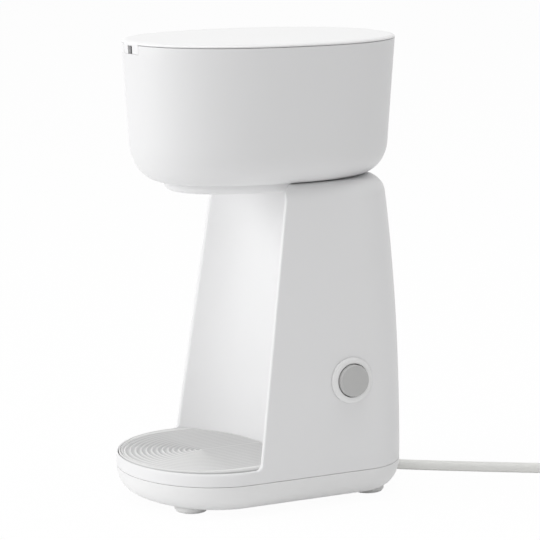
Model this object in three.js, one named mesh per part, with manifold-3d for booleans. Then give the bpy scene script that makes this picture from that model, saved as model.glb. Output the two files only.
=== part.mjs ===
import * as THREE from 'three';
import { mergeVertices } from 'three/addons/utils/BufferGeometryUtils.js';
import Module from 'manifold-3d';

const wasm = await Module();
wasm.setup();

// Single-cup coffee maker, in millimetres, z up from the table, the cup side facing -y

// Counts and pure numbers
const roundSides = 32;
const boreSides = 12;
const smallSides = 8;
const outlineSteps = 16;
const wallArcSteps = 12;
const arcLevels = 6;
const innerLevels = 3;
const half = 0.5;

// Clearances
const gap = 0.3; // between pieces that touch
const slip = 0.45; // round a piece that lifts out or slides
const overrun = 6; // how far a cutter runs past what it cuts
const weld = 0.0001; // corners closer than this are one

// Levels above the table
const level = {
  coverBottom: 3.6,
  parting: 21.2,
  widest: 20.6,
  recessFloor: 25.8,
  rim: 29.2,
  trayTop: 30.3,
  columnTop: 200.4,
  headBottom: 200.8,
  headRim: 285.3,
  lidTop: 287.4,
};

// Base outline: half ellipse under the cup, straight sides, half ellipse behind
const base = {
  length: 183.1,
  halfWidth: 61,
  frontShare: 0.31294, // how much of the length lies in front of the cup line
  backReach: 42,
  wall: 2.4,
  edgeWidth: 16.5, // rounding of the lower edge, across and up
  edgeHeight: 17.7,
  noseShare: 0.44, // how much more the lower edge draws in at the front
  tailShare: 0.31, // and how much less behind
  rimRound: 1.2,
  topSetback: 9.8, // how far the column's top, the head and the tray stand inside the base's side
  headSetback: 0.4,
  traySetback: 3.5,
  trayFront: 1.9,
};
const frontReach = base.length * base.frontShare;
const cupY = frontReach - base.length * half; // the cup and the outlet stand on this line
const baseBackY = base.length * half;

const column = {
  topHalfWidth: base.halfWidth - base.topSetback,
  backSetback: 10.9, // how far the back leans in
  topBackReach: 38,
  topRound: 10,
  roof: 3,
  leanPower: 2.2, // and how late
  wingSetback: 6.7, // front edge of the wings behind the cup line, low and high
  topWingSetback: 29.2,
  wingTip: 3.1,
  topWingTip: 3,
  filletRadius: 4,
  wallDepth: 30.6, // how deep the cup wall curves in behind the wings
  topWallDepth: 21.7,
};

// The head's reaches and middle as shares of the base's length
const headShare = { front: 0.4817, back: 0.4402, centre: 0.03331 };

const head = {
  halfWidth: base.halfWidth - base.headSetback,
  frontReach: base.length * headShare.front,
  backReach: base.length * headShare.back,
  straight: 6.2,
  centreY: base.length * headShare.centre,
  power: 2.15,
  draftShare: 0.062, // how much it narrows per unit of height
  cornerWidth: 16,
  cornerHeight: 19,
  frontCornerHeight: 23,
  wall: 2.4,
};

const insert = { wall: 2, top: 283, innerTop: 276.7, chamberRadius: 36, chamberStep: 2.4, seatDepth: 12.7, floor: 3 };
const shroud = { halfWidth: 37, frontReach: 63.7, backReach: 60, drop: 6, wall: 2, round: 5, power: 2.1 };
const spout = { radius: 5.5, bore: 3.5, flange: 9.5, flangeThick: 1.5 };
const basket = { bottomRadius: 26, mouth: 20, wall: 1.6, lift: 2.8, lip: 2, tabWidth: 12, tabHeight: 7, tabThick: 1.8 };
const mesh = { thick: 0.6, clear: 0.5 };
const lid = { edgeRound: 1.5, edgeWidth: 3.6, flangeDepth: 6, flangeWall: 1.6, lipWidth: 24, lipDepth: 6.5, slotWidth: 5.6, slotTop: 0.7 };
const channel = { width: 18, depth: 8.3, wall: 1.6, end: 9 };
const shower = { radius: 20, thick: 1.6, drop: 4.7, hub: 5, holes: 6, holeRadius: 1.2, holeRing: 13 };

const tray = {
  halfWidth: base.halfWidth - base.traySetback,
  frontReach: frontReach - base.trayFront,
  edgeRound: 0.8,
  grooves: 15,
  groovePitch: 3.37,
  grooveWidth: 1.75,
  grooveDepth: 0.9,
  firstGroove: 2.1,
  ringForward: 4.1, // how far the rings' middle stands in front of the cup line
  grooveSteps: 10,
};

const foot = { radius: 10.4, height: 4.8, frontX: 26, frontReach: 24.2, backX: 34.6, backSetback: 30.4 };
const coverScrew = { radius: 1.5, length: 22, headRadius: 3, headHeight: 2, sink: 2.2, postRadius: 4.2,
  frontX: 43.5, frontSetback: 11.95, backX: 45, backSetback: 55.55 };
const headScrew = { radius: 1.5, length: 12, headRadius: 3.2, headHeight: 2, x: 24, bossRadius: 4.5, bossHeight: 8 };

// How far the pieces inside stand behind the cup line
const behindCup = { headScrew: 68.25, riser: 64.25, heater: 88.25, button: 70.3, terminal: 52.25, cordTail: 60.25 };

// Water path: hoses and spigots share one bore
const hose = { outer: 6.2, inner: 4.3, spigot: 4, bore: 2.6, overlap: 11 };
const riser = { y: cupY + behindCup.riser, chimneyWall: 2, straight: 16, bendHeight: 54 };
const feed = { x: 20, spigotDrop: 15 };
const valve = { radius: 8, height: 17, bottom: 146, ballRadius: 3.8, ballRoom: 5, lift: 2 };
const clamp = { thick: 1.2, height: 4 };
const heater = { y: cupY + behindCup.heater, legX: 20, radius: 7.5, bore: 4, bendZ: 60, legTop: 108, steps: 14,
  elementRadius: 3.5, elementTop: 114, pinRadius: 1.2, pinLength: 9 };
const bracket = { thick: 1.2, width: 34, bottom: 18.2, top: 104, foot: 24, earBottom: 84, earHeight: 16, earDepth: 12,
  postX: 12, postInset: 7 };
const bracketScrew = { radius: 1.4, length: 10, headRadius: 2.8, headHeight: 1.8, postRadius: 4 };
const thermostat = { radius: 7.4, height: 6, clipWidth: 10 };
const fuse = { radius: 2.6, length: 26, bottom: 56 };

// Push button on the +x side; its pieces are laid out along their own axis, outwards
const button = { y: cupY + behindCup.button, z: 78.5, bezelRadius: 14.25, capRadius: 9.95, bezelBore: 10.5, bezelProud: 2.3,
  sleeveRadius: 12, sleeveDepth: 6, capProud: 4.6, capDepth: 8, capRound: 1, stemRadius: 2, travel: 2.5 };
const toggle = { depth: 12, width: 14, height: 20, front: 15, room: 8, ribThick: 1.8, ribGap: 0.3, tabs: 2,
  tabLength: 7, tabWidth: 4.8, tabThick: 0.8, tabPitch: 6 };
const spring = { wire: 0.45, radius: 4.4, turns: 5, steps: 8, sides: 5 };

// Mains side inside the base
const terminal = { x: 28, y: cupY + behindCup.terminal, length: 26, width: 12, height: 11 };
const inner = { tailY: cupY + behindCup.cordTail };
const wire = { radius: 1.1, sides: 6, steps: 10, lead: 5, clear: 0.4, lowShare: 0.3, midShare: 0.45, highShare: 0.85 };

// Mains cord: where it leaves the base, and the notch it leaves by
const cord = { radius: 3.25, sides: 10, steps: 26, exitX: -5.6, exitZ: 10.7 };
const notch = { width: 15, height: 12.4, roof: 2, frontY: 46 };
const relief = { length: 30, rootRadius: 4.6, tipRadius: 3.9, grip: 6.5, gripRadius: 3.6 };
const cordRoute = [
  [-5.6, 74.3, 10.7],
  [-5.6, 80.5, 10.1],
  [-5.6, 87, 8],
  [-5.1, 93.2, 5.7],
  [-2.9, 99.4, 4],
  [1.3, 105.6, 3.3],
  [14.2, 123.9, 3.25],
  [27.6, 144.3, 3.25],
  [41, 165, 3.25],
  [54.2, 185.7, 3.3],
  [64, 200.9, 4],
  [71.2, 212, 4.45],
  [73.51, 215.58, 4.45],
];
const coil = { radius: 41.5, pitch: 7, layer: 7, turns: 3, climb: 0.5, steps: 24, sides: 6, lift: 4.45, stretch: 6.5,
  tail: 17 };
const tie = { thick: 0.8, width: 7, angle: 2.2, room: 0.35 };
const plug = { radius: 18.5, height: 24, neckLength: 26, neckRoot: 6.5, neckTip: 4.3, round: 3,
  pinRadius: 2.4, pinLength: 19, pinPitch: 19, base: 0.2 };

// Turns a closed three.js geometry into a solid whose faces point out
function solidOf(geometry) {
  const bare = geometry.clone();
  bare.deleteAttribute('normal');
  bare.deleteAttribute('uv');
  const merged = mergeVertices(bare, weld);
  const places = merged.attributes.position;
  const corners = merged.index.array;
  const kept = [];
  let volume = 0;
  for (let i = 0; i < corners.length; i += 3) {
    const [a, b, c] = [corners[i], corners[i + 1], corners[i + 2]];
    if (a === b || b === c || c === a) continue;
    kept.push(a, b, c);
    const place = (n) => new THREE.Vector3().fromBufferAttribute(places, n);
    volume += place(a).dot(place(b).cross(place(c)));
  }
  if (volume < 0) kept.reverse();
  return new wasm.Manifold(new wasm.Mesh({
    numProp: 3,
    vertProperties: new Float32Array(places.array),
    triVerts: new Uint32Array(kept),
  }));
}

function geometryOf(solid) {
  const mesh = solid.getMesh();
  const geometry = new THREE.BufferGeometry();
  geometry.setAttribute('position', new THREE.BufferAttribute(new Float32Array(mesh.vertProperties), mesh.numProp));
  geometry.setIndex(Array.from(mesh.triVerts));
  return geometry;
}

const join = (first, ...others) => others.reduce((sum, solid) => sum.add(solid), first);
const cut = (first, ...others) => others.reduce((rest, solid) => rest.subtract(solid), first);
const common = (first, second) => first.intersect(second);
const mix = (low, high, share) => low + (high - low) * share;

// Block by its middle in x and y and its underside
function block(width, depth, height, x, y, z) {
  return solidOf(new THREE.BoxGeometry(width, depth, height).translate(x, y, z + height * half));
}

// Upright round bar by its middle and its underside
function bar(radius, height, x, y, z, sides = boreSides) {
  const shape = new THREE.CylinderGeometry(radius, radius, height, sides);
  return solidOf(shape.rotateX(Math.PI * half).translate(x, y, z + height * half));
}

function pipe(outer, bore, height, x, y, z) {
  return cut(bar(outer, height, x, y, z), bar(bore, height + overrun * 2, x, y, z - overrun));
}

// Profile of radius and height turned about its axis; a profile clear of the axis makes a ring
function lathe(profile, sides) {
  const line = profile[0][0] > 0 ? [...profile, profile[0]] : profile;
  return new THREE.LatheGeometry(line.map(([r, d]) => new THREE.Vector2(r, d)), sides);
}

function turned(profile, x, y, sides = roundSides) {
  return solidOf(lathe(profile, sides).rotateX(Math.PI * half).scale(1, -1, 1).translate(x, y, 0));
}

// The same about the x axis; the profile is radius and distance along x
function turnedAlongX(profile, sides = roundSides) {
  return solidOf(lathe(profile, sides).rotateZ(-Math.PI * half));
}

// Skin through closed rings of equal length; the end rings are filled flat
function loft(rings, capFaces) {
  const count = rings[0].length;
  const faces = [];
  for (let row = 0; row + 1 < rings.length; row += 1) {
    for (let i = 0; i < count; i += 1) {
      const a = row * count + i;
      const b = row * count + ((i + 1) % count);
      faces.push(a, b, b + count, a, b + count, a + count);
    }
  }
  const last = (rings.length - 1) * count;
  for (const [a, b, c] of capFaces) faces.push(c, b, a, last + a, last + b, last + c);
  const shape = new THREE.BufferGeometry().setFromPoints(rings.flat());
  shape.setIndex(faces);
  return solidOf(shape);
}

// Loft of level rings, which may be hollow-sided
function levelLoft(rings) {
  const outline = rings[0].map((point) => new THREE.Vector2(point.x, point.y));
  return loft(rings, THREE.ShapeUtils.triangulateShape(outline, []));
}

// End faces for a loft of round sections
function fanCaps(count) {
  return Array.from({ length: count - 2 }, (unused, i) => [0, i + 1, i + 2]);
}

function circle(radius, sides) {
  const shape = new THREE.Shape();
  for (let i = 0; i < sides; i += 1) {
    const angle = (Math.PI * 2 * i) / sides;
    const place = [radius * Math.cos(angle), radius * Math.sin(angle)];
    if (i === 0) shape.moveTo(...place);
    else shape.lineTo(...place);
  }
  shape.closePath();
  return shape;
}

function alongPath(shape, points, steps) {
  const extrudePath = new THREE.CatmullRomCurve3(points.map((point) => new THREE.Vector3(...point)), false, 'centripetal');
  return solidOf(new THREE.ExtrudeGeometry(shape, { steps, extrudePath, bevelEnabled: false }));
}

// Flat profile in y and z, extruded across x
function across(profile, width) {
  const shape = new THREE.Shape(profile.map(([y, z]) => new THREE.Vector2(y, z)));
  const solid = new THREE.ExtrudeGeometry(shape, { depth: width, bevelEnabled: false });
  return solidOf(solid.translate(0, 0, -width * half).rotateY(Math.PI * half).rotateX(Math.PI * half));
}

// Rounding: how far an edge has drawn in, a share of the way round it
const drawn = (width, share) => width * (1 - Math.sqrt(Math.max(0, 1 - share * share)));

function levels(from, to, count) {
  return Array.from({ length: count + 1 }, (unused, i) => mix(from, to, i / count));
}

// Levels that crowd towards the end of a rounding
function roundLevels(from, to, count) {
  return Array.from({ length: count + 1 }, (unused, i) => mix(from, to, Math.sin((Math.PI * half * i) / count)));
}

// Outline of the base and column at a level
const climbed = (z) => Math.max(0, (z - level.trayTop) / (level.columnTop - level.trayTop));
const sideX = (z) => mix(base.halfWidth, column.topHalfWidth, climbed(z));
const backY = (z) => mix(baseBackY, (baseBackY - column.backSetback), climbed(z) ** column.leanPower);
const wingY = (z) => cupY + mix(column.wingSetback, column.topWingSetback, climbed(z));
const spaceX = (z) => sideX(z) - mix(column.wingTip, column.topWingTip, climbed(z));

function bodyRing(z, inset) {
  const reach = mix(base.backReach, column.topBackReach, climbed(z));
  const side = sideX(z) - inset;
  const nose = frontReach - inset - base.noseShare * lowerInset(z);
  const ring = [];
  for (let i = 0; i <= outlineSteps; i += 1) {
    const turn = Math.PI * (1 + i / outlineSteps);
    ring.push(new THREE.Vector3(side * Math.cos(turn), cupY + nose * Math.sin(turn), z));
  }
  for (let i = 0; i <= outlineSteps; i += 1) {
    const turn = (Math.PI * i) / outlineSteps;
    const y = backY(z) - reach + (reach - inset + base.tailShare * lowerInset(z)) * Math.sin(turn);
    ring.push(new THREE.Vector3(side * Math.cos(turn), y, z));
  }
  return ring;
}

const lowerInset = (z) => drawn(base.edgeWidth, Math.max(0, level.widest - z) / base.edgeHeight);

// Space in front of the column: the cup wall curves in between the wings
function spaceRing(z, grow, frontY) {
  const edge = spaceX(z);
  const depth = mix(column.wallDepth, column.topWallDepth, climbed(z));
  const radius = (edge * edge + depth * depth) / (depth * 2);
  const centreY = wingY(z) + depth - radius;
  const spread = Math.asin((edge + grow) / (radius + grow));
  const ring = [new THREE.Vector3(-edge - grow, frontY, z), new THREE.Vector3(edge + grow, frontY, z)];
  for (let i = 0; i <= wallArcSteps; i += 1) {
    const turn = mix(spread, -spread, i / wallArcSteps);
    const x = (radius + grow) * Math.sin(turn);
    ring.push(new THREE.Vector3(x, centreY + (radius + grow) * Math.cos(turn), z));
  }
  return ring;
}

// Outline of the drip tray, or of its recess with some growth
function trayRing(z, grow) {
  const ring = [];
  for (let i = 0; i <= outlineSteps; i += 1) {
    const turn = Math.PI * (1 + i / outlineSteps);
    const x = (tray.halfWidth + grow) * Math.cos(turn);
    ring.push(new THREE.Vector3(x, cupY + (tray.frontReach + grow) * Math.sin(turn), z));
  }
  const space = spaceRing(level.rim, grow - slip, cupY);
  return ring.concat(space.slice(2).map((point) => new THREE.Vector3(point.x, point.y, z)));
}

// Outline of the head: a tapered oval with a rounded lower edge, drawn in at the front and behind
function ovalRing(shape, z, inset, backInset = inset) {
  const ring = [];
  const count = outlineSteps * 2;
  for (let i = 0; i < count; i += 1) {
    const turn = (Math.PI * 2 * (i + half)) / count;
    const bow = (value) => Math.sign(value) * Math.abs(value) ** (2 / shape.power);
    const reach = Math.sin(turn) < 0 ? shape.frontReach : shape.backReach;
    const shift = head.straight * half * Math.sign(Math.sin(turn));
    const drawnIn = mix(inset, backInset, half + half * Math.sin(turn));
    const y = head.centreY + shift + (reach - drawnIn) * bow(Math.sin(turn));
    ring.push(new THREE.Vector3((shape.halfWidth - drawnIn) * bow(Math.cos(turn)), y, z));
  }
  return ring;
}

function headRing(z, offset) {
  const draft = head.draftShare * (level.headRim - z);
  const inset = (height) => {
    const share = Math.max(0, level.headBottom + height - z) / (height - offset);
    return offset + draft + drawn(head.cornerWidth - offset, Math.min(1, share));
  };
  return ovalRing(head, z, inset(head.frontCornerHeight), inset(head.cornerHeight));
}

function headBlank(offset, top, count = innerLevels) {
  const cornerTop = level.headBottom + head.frontCornerHeight;
  const rounded = roundLevels(cornerTop, level.headBottom + offset, count).reverse();
  return levelLoft([...rounded, top].map((z) => headRing(z, offset)));
}

// Housing: column and tray surround in one shell, open below
function housingOutside() {
  const roundStart = level.columnTop - column.topRound;
  const low = levels(level.parting, level.recessFloor, 1);
  const high = levels(level.trayTop, roundStart, arcLevels);
  const top = roundLevels(roundStart, level.columnTop, arcLevels - 1).slice(1);
  const topInset = (z) => drawn(column.topRound, Math.max(0, z - roundStart) / column.topRound);
  const post = levelLoft([...low, ...high, ...top].map((z) => bodyRing(z, lowerInset(z) + topInset(z))));
  const rimStart = level.rim - base.rimRound;
  const rimInset = (z) => drawn(base.rimRound, Math.max(0, z - rimStart) / base.rimRound);
  const rim = roundLevels(rimStart, level.rim, 3);
  const surround = levelLoft([...low, ...rim].map((z) => bodyRing(z, lowerInset(z) + rimInset(z))));
  return join(cut(post, wingCutter()), surround);
}

// Everything in front of the wings, with the fillet where they meet the rim
function wingCutter() {
  const far = cupY - base.length;
  const below = level.parting - overrun;
  const top = level.columnTop + overrun;
  const start = wingY(level.rim) - column.filletRadius;
  const profile = [[far, below], [start, below]];
  for (let i = 0; i <= arcLevels; i += 1) {
    const turn = (Math.PI * half * i) / arcLevels;
    const y = start + column.filletRadius * Math.sin(turn);
    profile.push([y, level.rim + column.filletRadius * (1 - Math.cos(turn))]);
  }
  profile.push([wingY(top), top], [far, top]);
  return across(profile, base.length);
}

function cupSpace() {
  const top = level.columnTop + overrun;
  const rings = [level.recessFloor, level.trayTop, level.columnTop, top];
  const well = levelLoft(rings.map((z) => spaceRing(z, 0, cupY)));
  const filletRoom = block(spaceX(level.rim) * 2, column.filletRadius * 2, column.filletRadius + overrun,
    0, cupY - column.filletRadius * half, level.rim);
  const recess = levelLoft([level.recessFloor, level.rim + overrun].map((z) => trayRing(z, slip)));
  return join(well, filletRoom, recess);
}

function housingInside() {
  const bottom = level.parting - overrun;
  const ceiling = level.columnTop - column.roof;
  const heights = [bottom, level.trayTop, ...levels(level.trayTop, ceiling, innerLevels).slice(1)];
  const inset = (z) => base.wall + drawn(column.topRound, Math.max(0, z - ceiling + column.topRound) / column.topRound / 2);
  const room = levelLoft(heights.map((z) => bodyRing(z, inset(z))));
  const shelf = level.recessFloor - base.wall;
  const top = level.columnTop + overrun;
  const wall = levelLoft([shelf, level.trayTop, level.columnTop, top].map((z) => spaceRing(z, base.wall, cupY)));
  const far = cupY - base.length;
  const front = across([[far, shelf], [wingY(shelf) + base.wall, shelf], [wingY(level.trayTop) + base.wall, level.trayTop],
    [wingY(top) + base.wall, top], [far, top]], base.length);
  return cut(room, wall, front);
}

// Turns pieces laid out along the button's axis into the housing's frame
const lean = Math.atan2(base.halfWidth - column.topHalfWidth, level.columnTop - level.trayTop);
const buttonPlace = new THREE.Vector3(sideX(button.z), button.y, button.z);

function switchRibs() {
  const depth = toggle.front + toggle.depth;
  const reach = toggle.width * half + toggle.ribGap;
  const rib = (side) => new THREE.BoxGeometry(depth, toggle.ribThick, toggle.height)
    .translate(-depth * half - base.wall * half, side * (reach + toggle.ribThick * half), 0);
  const shelf = new THREE.BoxGeometry(depth, reach * 2 + toggle.ribThick * 2, toggle.ribThick)
    .translate(-depth * half - base.wall * half, 0, -(toggle.height + toggle.ribThick) * half - toggle.ribGap);
  return [rib(-1), rib(1), shelf].map((shape) => solidOf(inButtonFrame(shape)));
}

function inButtonFrame(shape) {
  return shape.rotateY(-lean).translate(buttonPlace.x, buttonPlace.y, buttonPlace.z);
}

const coverScrewPlaces = [[-1, 'front'], [1, 'front'], [-1, 'back'], [1, 'back']].map(([side, end]) => (
  end === 'front' ? [side * coverScrew.frontX, cupY + coverScrew.frontSetback]
    : [side * coverScrew.backX, baseBackY - coverScrew.backSetback]));
const headScrewPlaces = [-1, 1].map((side) => [side * headScrew.x, cupY + behindCup.headScrew]);

function mainHousing() {
  let shell = cut(housingOutside(), cupSpace(), housingInside());
  const inside = housingInside();
  for (const [x, y] of coverScrewPlaces) {
    const top = y < 0 ? level.recessFloor : level.recessFloor + coverScrew.length * half;
    const post = bar(coverScrew.postRadius, top - level.parting, x, y, level.parting);
    const web = block(Math.abs(x) * 2, coverScrew.radius, top - level.parting, x + Math.sign(x) * Math.abs(x), y, level.parting);
    shell = join(shell, common(join(post, web), inside));
  }
  shell = join(shell, ...switchRibs());
  const screwHoles = coverScrewPlaces.map(([x, y]) => (
    bar(coverScrew.radius + gap, coverScrew.length, x, y, level.parting - overrun, smallSides)));
  const roofHoles = headScrewPlaces.map(([x, y]) => (
    bar(headScrew.radius + gap, column.roof + overrun * 2, x, y, level.columnTop - column.roof - overrun, smallSides)));
  const hoseHole = (x, y) => bar(hose.outer + slip, column.roof + overrun * 2, x, y, level.columnTop - column.roof - overrun);
  const hole = new THREE.CylinderGeometry(1, 1, overrun * 2, roundSides)
    .scale(button.sleeveRadius + gap, 1, button.sleeveRadius + gap).rotateZ(Math.PI * half);
  return cut(shell, ...screwHoles, ...roofHoles, hoseHole(0, riser.y), hoseHole(feed.x, heater.y),
    solidOf(inButtonFrame(hole)));
}

// Base cover: dish under the housing with the cord's notch, posts and foot seats
function baseCover() {
  const top = level.parting - gap;
  const outside = levelLoft(roundLevels(level.widest, level.coverBottom, arcLevels + innerLevels).reverse()
    .filter((z) => z < top - base.rimRound).concat(top).map((z) => bodyRing(z, lowerInset(z))));
  const floor = level.coverBottom + base.wall;
  const insideInset = (z) => base.wall + drawn(base.edgeWidth - base.wall, Math.max(0, level.widest - z)
    / (base.edgeHeight - base.wall));
  const inside = levelLoft([floor, ...levels(floor, top, innerLevels).slice(1), top + overrun]
    .map((z) => bodyRing(z, insideInset(z))));
  let dish = cut(outside, inside);
  const length = baseBackY - notch.frontY;
  const ceiling = level.coverBottom + notch.height;
  const tunnel = block(notch.width + notch.roof * 2, length + notch.roof, notch.height + notch.roof, cord.exitX,
    notch.frontY + (length - notch.roof) * half, level.coverBottom);
  dish = join(dish, common(tunnel, outside));
  const posts = bracketPosts().map(([x, y]) => bar(bracketScrew.postRadius, bracket.bottom - gap - floor + weld, x, y, floor - weld));
  const towers = coverScrewPlaces.map(([x, y]) => common(bar(coverScrew.postRadius, top - gap - level.coverBottom, x, y,
    level.coverBottom), outside));
  dish = join(dish, ...posts, ...towers);
  const way = block(notch.width, length + overrun, notch.height + overrun, cord.exitX,
    notch.frontY + (length + overrun) * half, ceiling - notch.height - overrun);
  const reliefHole = new THREE.CylinderGeometry(relief.gripRadius + gap, relief.gripRadius + gap, overrun * 2, boreSides)
    .translate(cord.exitX, notch.frontY, cord.exitZ);
  const screwWays = coverScrewPlaces.flatMap(([x, y]) => [
    bar(coverScrew.radius + gap, coverScrew.length + overrun, x, y, level.coverBottom - overrun, smallSides),
    bar(coverScrew.headRadius + gap, coverScrew.sink + coverScrew.headHeight + overrun, x, y, level.coverBottom - overrun),
  ]);
  const footSeats = footPlaces().map(([x, y]) => bar(foot.radius + gap, foot.height - level.coverBottom + gap + overrun, x, y,
    level.coverBottom - overrun, outlineSteps));
  const postHoles = bracketPosts().map(([x, y]) => (
    bar(bracketScrew.radius + gap, bracketScrew.length, x, y, bracket.bottom - bracketScrew.length, smallSides)));
  return cut(dish, way, solidOf(reliefHole), ...screwWays, ...footSeats, ...postHoles);
}

function footPlaces() {
  return [-1, 1].flatMap((side) => [[side * foot.frontX, cupY - foot.frontReach],
    [side * foot.backX, baseBackY - foot.backSetback]]);
}

function bracketPosts() {
  const y = heater.y + heater.radius + gap + bracket.thick - bracket.foot + bracket.postInset;
  return [[bracket.postX, y], [-bracket.postX * 2, y]];
}

// Drip tray: rounded plate with rings of grooves that run straight back to the cup wall
function dripTray() {
  const bottom = level.recessFloor + gap;
  const roundStart = level.trayTop - tray.edgeRound;
  const inset = (z) => drawn(tray.edgeRound, Math.max(0, z - roundStart) / tray.edgeRound);
  const heights = [bottom, ...roundLevels(roundStart, level.trayTop, 2)];
  const plate = levelLoft(heights.map((z) => trayRing(z, -inset(z))));
  const grooves = Array.from({ length: tray.grooves }, (unused, i) => grooveCutter(tray.firstGroove + i * tray.groovePitch));
  return cut(plate, ...grooves);
}

function grooveCutter(radius) {
  const back = column.wallDepth + tray.halfWidth + tray.ringForward;
  const outline = (reach, tail) => {
    const points = [[reach, tail], [-reach, tail]];
    for (let i = 0; i <= tray.grooveSteps; i += 1) {
      const turn = Math.PI * (1 + i / tray.grooveSteps);
      points.push([reach * Math.cos(turn), reach * Math.sin(turn)]);
    }
    return points;
  };
  const prism = (reach, tail) => levelLoft([level.trayTop - tray.grooveDepth, level.trayTop + overrun].map((z) => (
    outline(reach, tail).map(([x, y]) => new THREE.Vector3(x, cupY - tray.ringForward + y, z)))));
  return cut(prism(radius + tray.grooveWidth, back), prism(radius, back + overrun));
}

function footPad(x, y) {
  const edge = foot.radius - level.coverBottom * half * half;
  return turned([[0, 0], [edge, 0], [foot.radius, level.coverBottom * half], [foot.radius, foot.height], [0, foot.height]],
    x, y, outlineSteps);
}

function coverScrewAt(x, y) {
  const under = level.coverBottom + coverScrew.sink;
  return join(bar(coverScrew.headRadius, coverScrew.headHeight, x, y, under, smallSides),
    bar(coverScrew.radius, coverScrew.length - coverScrew.headHeight, x, y, under, smallSides));
}

function headScrewAt(x, y) {
  const top = level.columnTop - column.roof - gap;
  return join(bar(headScrew.headRadius, headScrew.headHeight, x, y, top - headScrew.headHeight, smallSides),
    bar(headScrew.radius, headScrew.length + headScrew.headHeight, x, y, top - headScrew.headHeight, smallSides));
}

// Head shell: the white tub, with a notch for the lid's lip
function headShell() {
  const tub = cut(headBlank(0, level.headRim, arcLevels), headBlank(head.wall, level.headRim + overrun));
  const depth = head.wall + gap;
  const lipNotch = block(lid.lipWidth + slip * 2, depth * 2, lid.lipDepth + slip + overrun, 0, headFront(level.headRim) + depth,
    level.headRim - lid.lipDepth - slip);
  const holes = [[0, cupY, spout.radius], [0, riser.y, hose.outer], [feed.x, heater.y, hose.outer]].map(([x, y, radius]) => (
    bar(radius + slip, overrun * 2, x, y, level.headBottom - overrun)));
  const screwHoles = headScrewPlaces.map(([x, y]) => bar(headScrew.radius + gap, overrun * 2, x, y,
    level.headBottom - overrun, smallSides));
  return cut(tub, lipNotch, ...holes, ...screwHoles);
}

const headFront = (z) => head.centreY - head.straight * half - head.frontReach + head.draftShare * (level.headRim - z);
const insertOffset = head.wall + gap;
const insertFloor = level.headBottom + insertOffset;
const chamberFloor = insertFloor + insert.floor;
const seatZ = insert.innerTop - insert.seatDepth;

// Head insert: water tank with the filter chamber and the riser's chimney in one moulding
function headInsert() {
  const outside = headBlank(insertOffset, insert.top);
  const hollow = headBlank(insertOffset + insert.wall, insert.top + overrun);
  const tall = insert.innerTop - insertFloor;
  const keep = [
    bar(insert.chamberRadius + insert.wall, tall, 0, cupY, insertFloor, roundSides),
    bar(hose.outer + slip + riser.chimneyWall, tall, 0, riser.y, insertFloor),
    ...headScrewPlaces.map(([x, y]) => bar(headScrew.bossRadius, headScrew.bossHeight, x, y, insertFloor)),
  ];
  const spigot = bar(hose.spigot, feed.spigotDrop + insert.wall, feed.x, heater.y, insertFloor - feed.spigotDrop);
  const moulding = join(cut(outside, cut(hollow, ...keep)), spigot);
  const chamber = turned([[0, chamberFloor], [insert.chamberRadius - insert.chamberStep, chamberFloor],
    [insert.chamberRadius - insert.chamberStep, seatZ], [insert.chamberRadius, seatZ],
    [insert.chamberRadius, insert.top + overrun], [0, insert.top + overrun]], 0, cupY);
  const outlet = bar(spout.radius + slip, overrun * 2, 0, cupY, insertFloor - overrun * half);
  const chimney = bar(hose.outer + slip, tall + overrun * 2, 0, riser.y, insertFloor - overrun);
  const drain = bar(hose.bore, feed.spigotDrop + overrun * 3, feed.x, heater.y, insertFloor - feed.spigotDrop - overrun);
  const screwHoles = headScrewPlaces.map(([x, y]) => bar(headScrew.radius + gap, headScrew.bossHeight - insert.wall + overrun,
    x, y, insertFloor - overrun, smallSides));
  const slot = block(lid.slotWidth, overrun * 2, overrun * 2, 0, headFront(level.headRim) + insertOffset + insert.wall,
    level.headRim - lid.lipDepth);
  return cut(moulding, chamber, outlet, chimney, drain, ...screwHoles, slot);
}

// Outlet shroud: rounded plate under the head, cut to the cup wall behind
function outletShroud() {
  const top = level.headBottom - gap;
  const bottom = top - shroud.drop;
  const roundTop = bottom + shroud.round;
  const inset = (z) => drawn(shroud.round, Math.min(1, Math.max(0, roundTop - z) / shroud.round));
  const blank = (floor, ceiling, grow) => levelLoft([...roundLevels(roundTop, floor, innerLevels).reverse(), ceiling]
    .map((z) => ovalRing(shroud, z, inset(z) + grow)));
  const front = cupY - base.length;
  const room = (grow) => levelLoft([bottom - overrun, level.columnTop + overrun].map((z) => spaceRing(z, grow, front)));
  const inside = common(blank(bottom + shroud.wall, top + overrun, shroud.wall), room(-slip - shroud.wall));
  const collar = bar(spout.radius + slip + shroud.wall, shroud.drop, 0, cupY, bottom);
  const cup = join(cut(common(blank(bottom, top, 0), room(-slip)), inside), collar);
  return cut(cup, bar(spout.radius + slip, overrun * 3, 0, cupY, bottom - overrun));
}

function dripSpout() {
  const bottom = level.headBottom - shroud.drop;
  const seat = chamberFloor + gap;
  const top = seat + spout.flangeThick;
  return turned([[spout.bore, bottom], [spout.radius, bottom], [spout.radius, seat], [spout.flange, seat],
    [spout.flange, top], [spout.bore, top]], 0, cupY, boreSides);
}

// Filter basket: tapered cup that hangs by its lip on the chamber's step
const basketFloor = chamberFloor + spout.flangeThick + basket.lift;
const basketLip = seatZ + gap;
const basketTopRadius = insert.chamberRadius - insert.chamberStep - basket.wall + slip;

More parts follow.
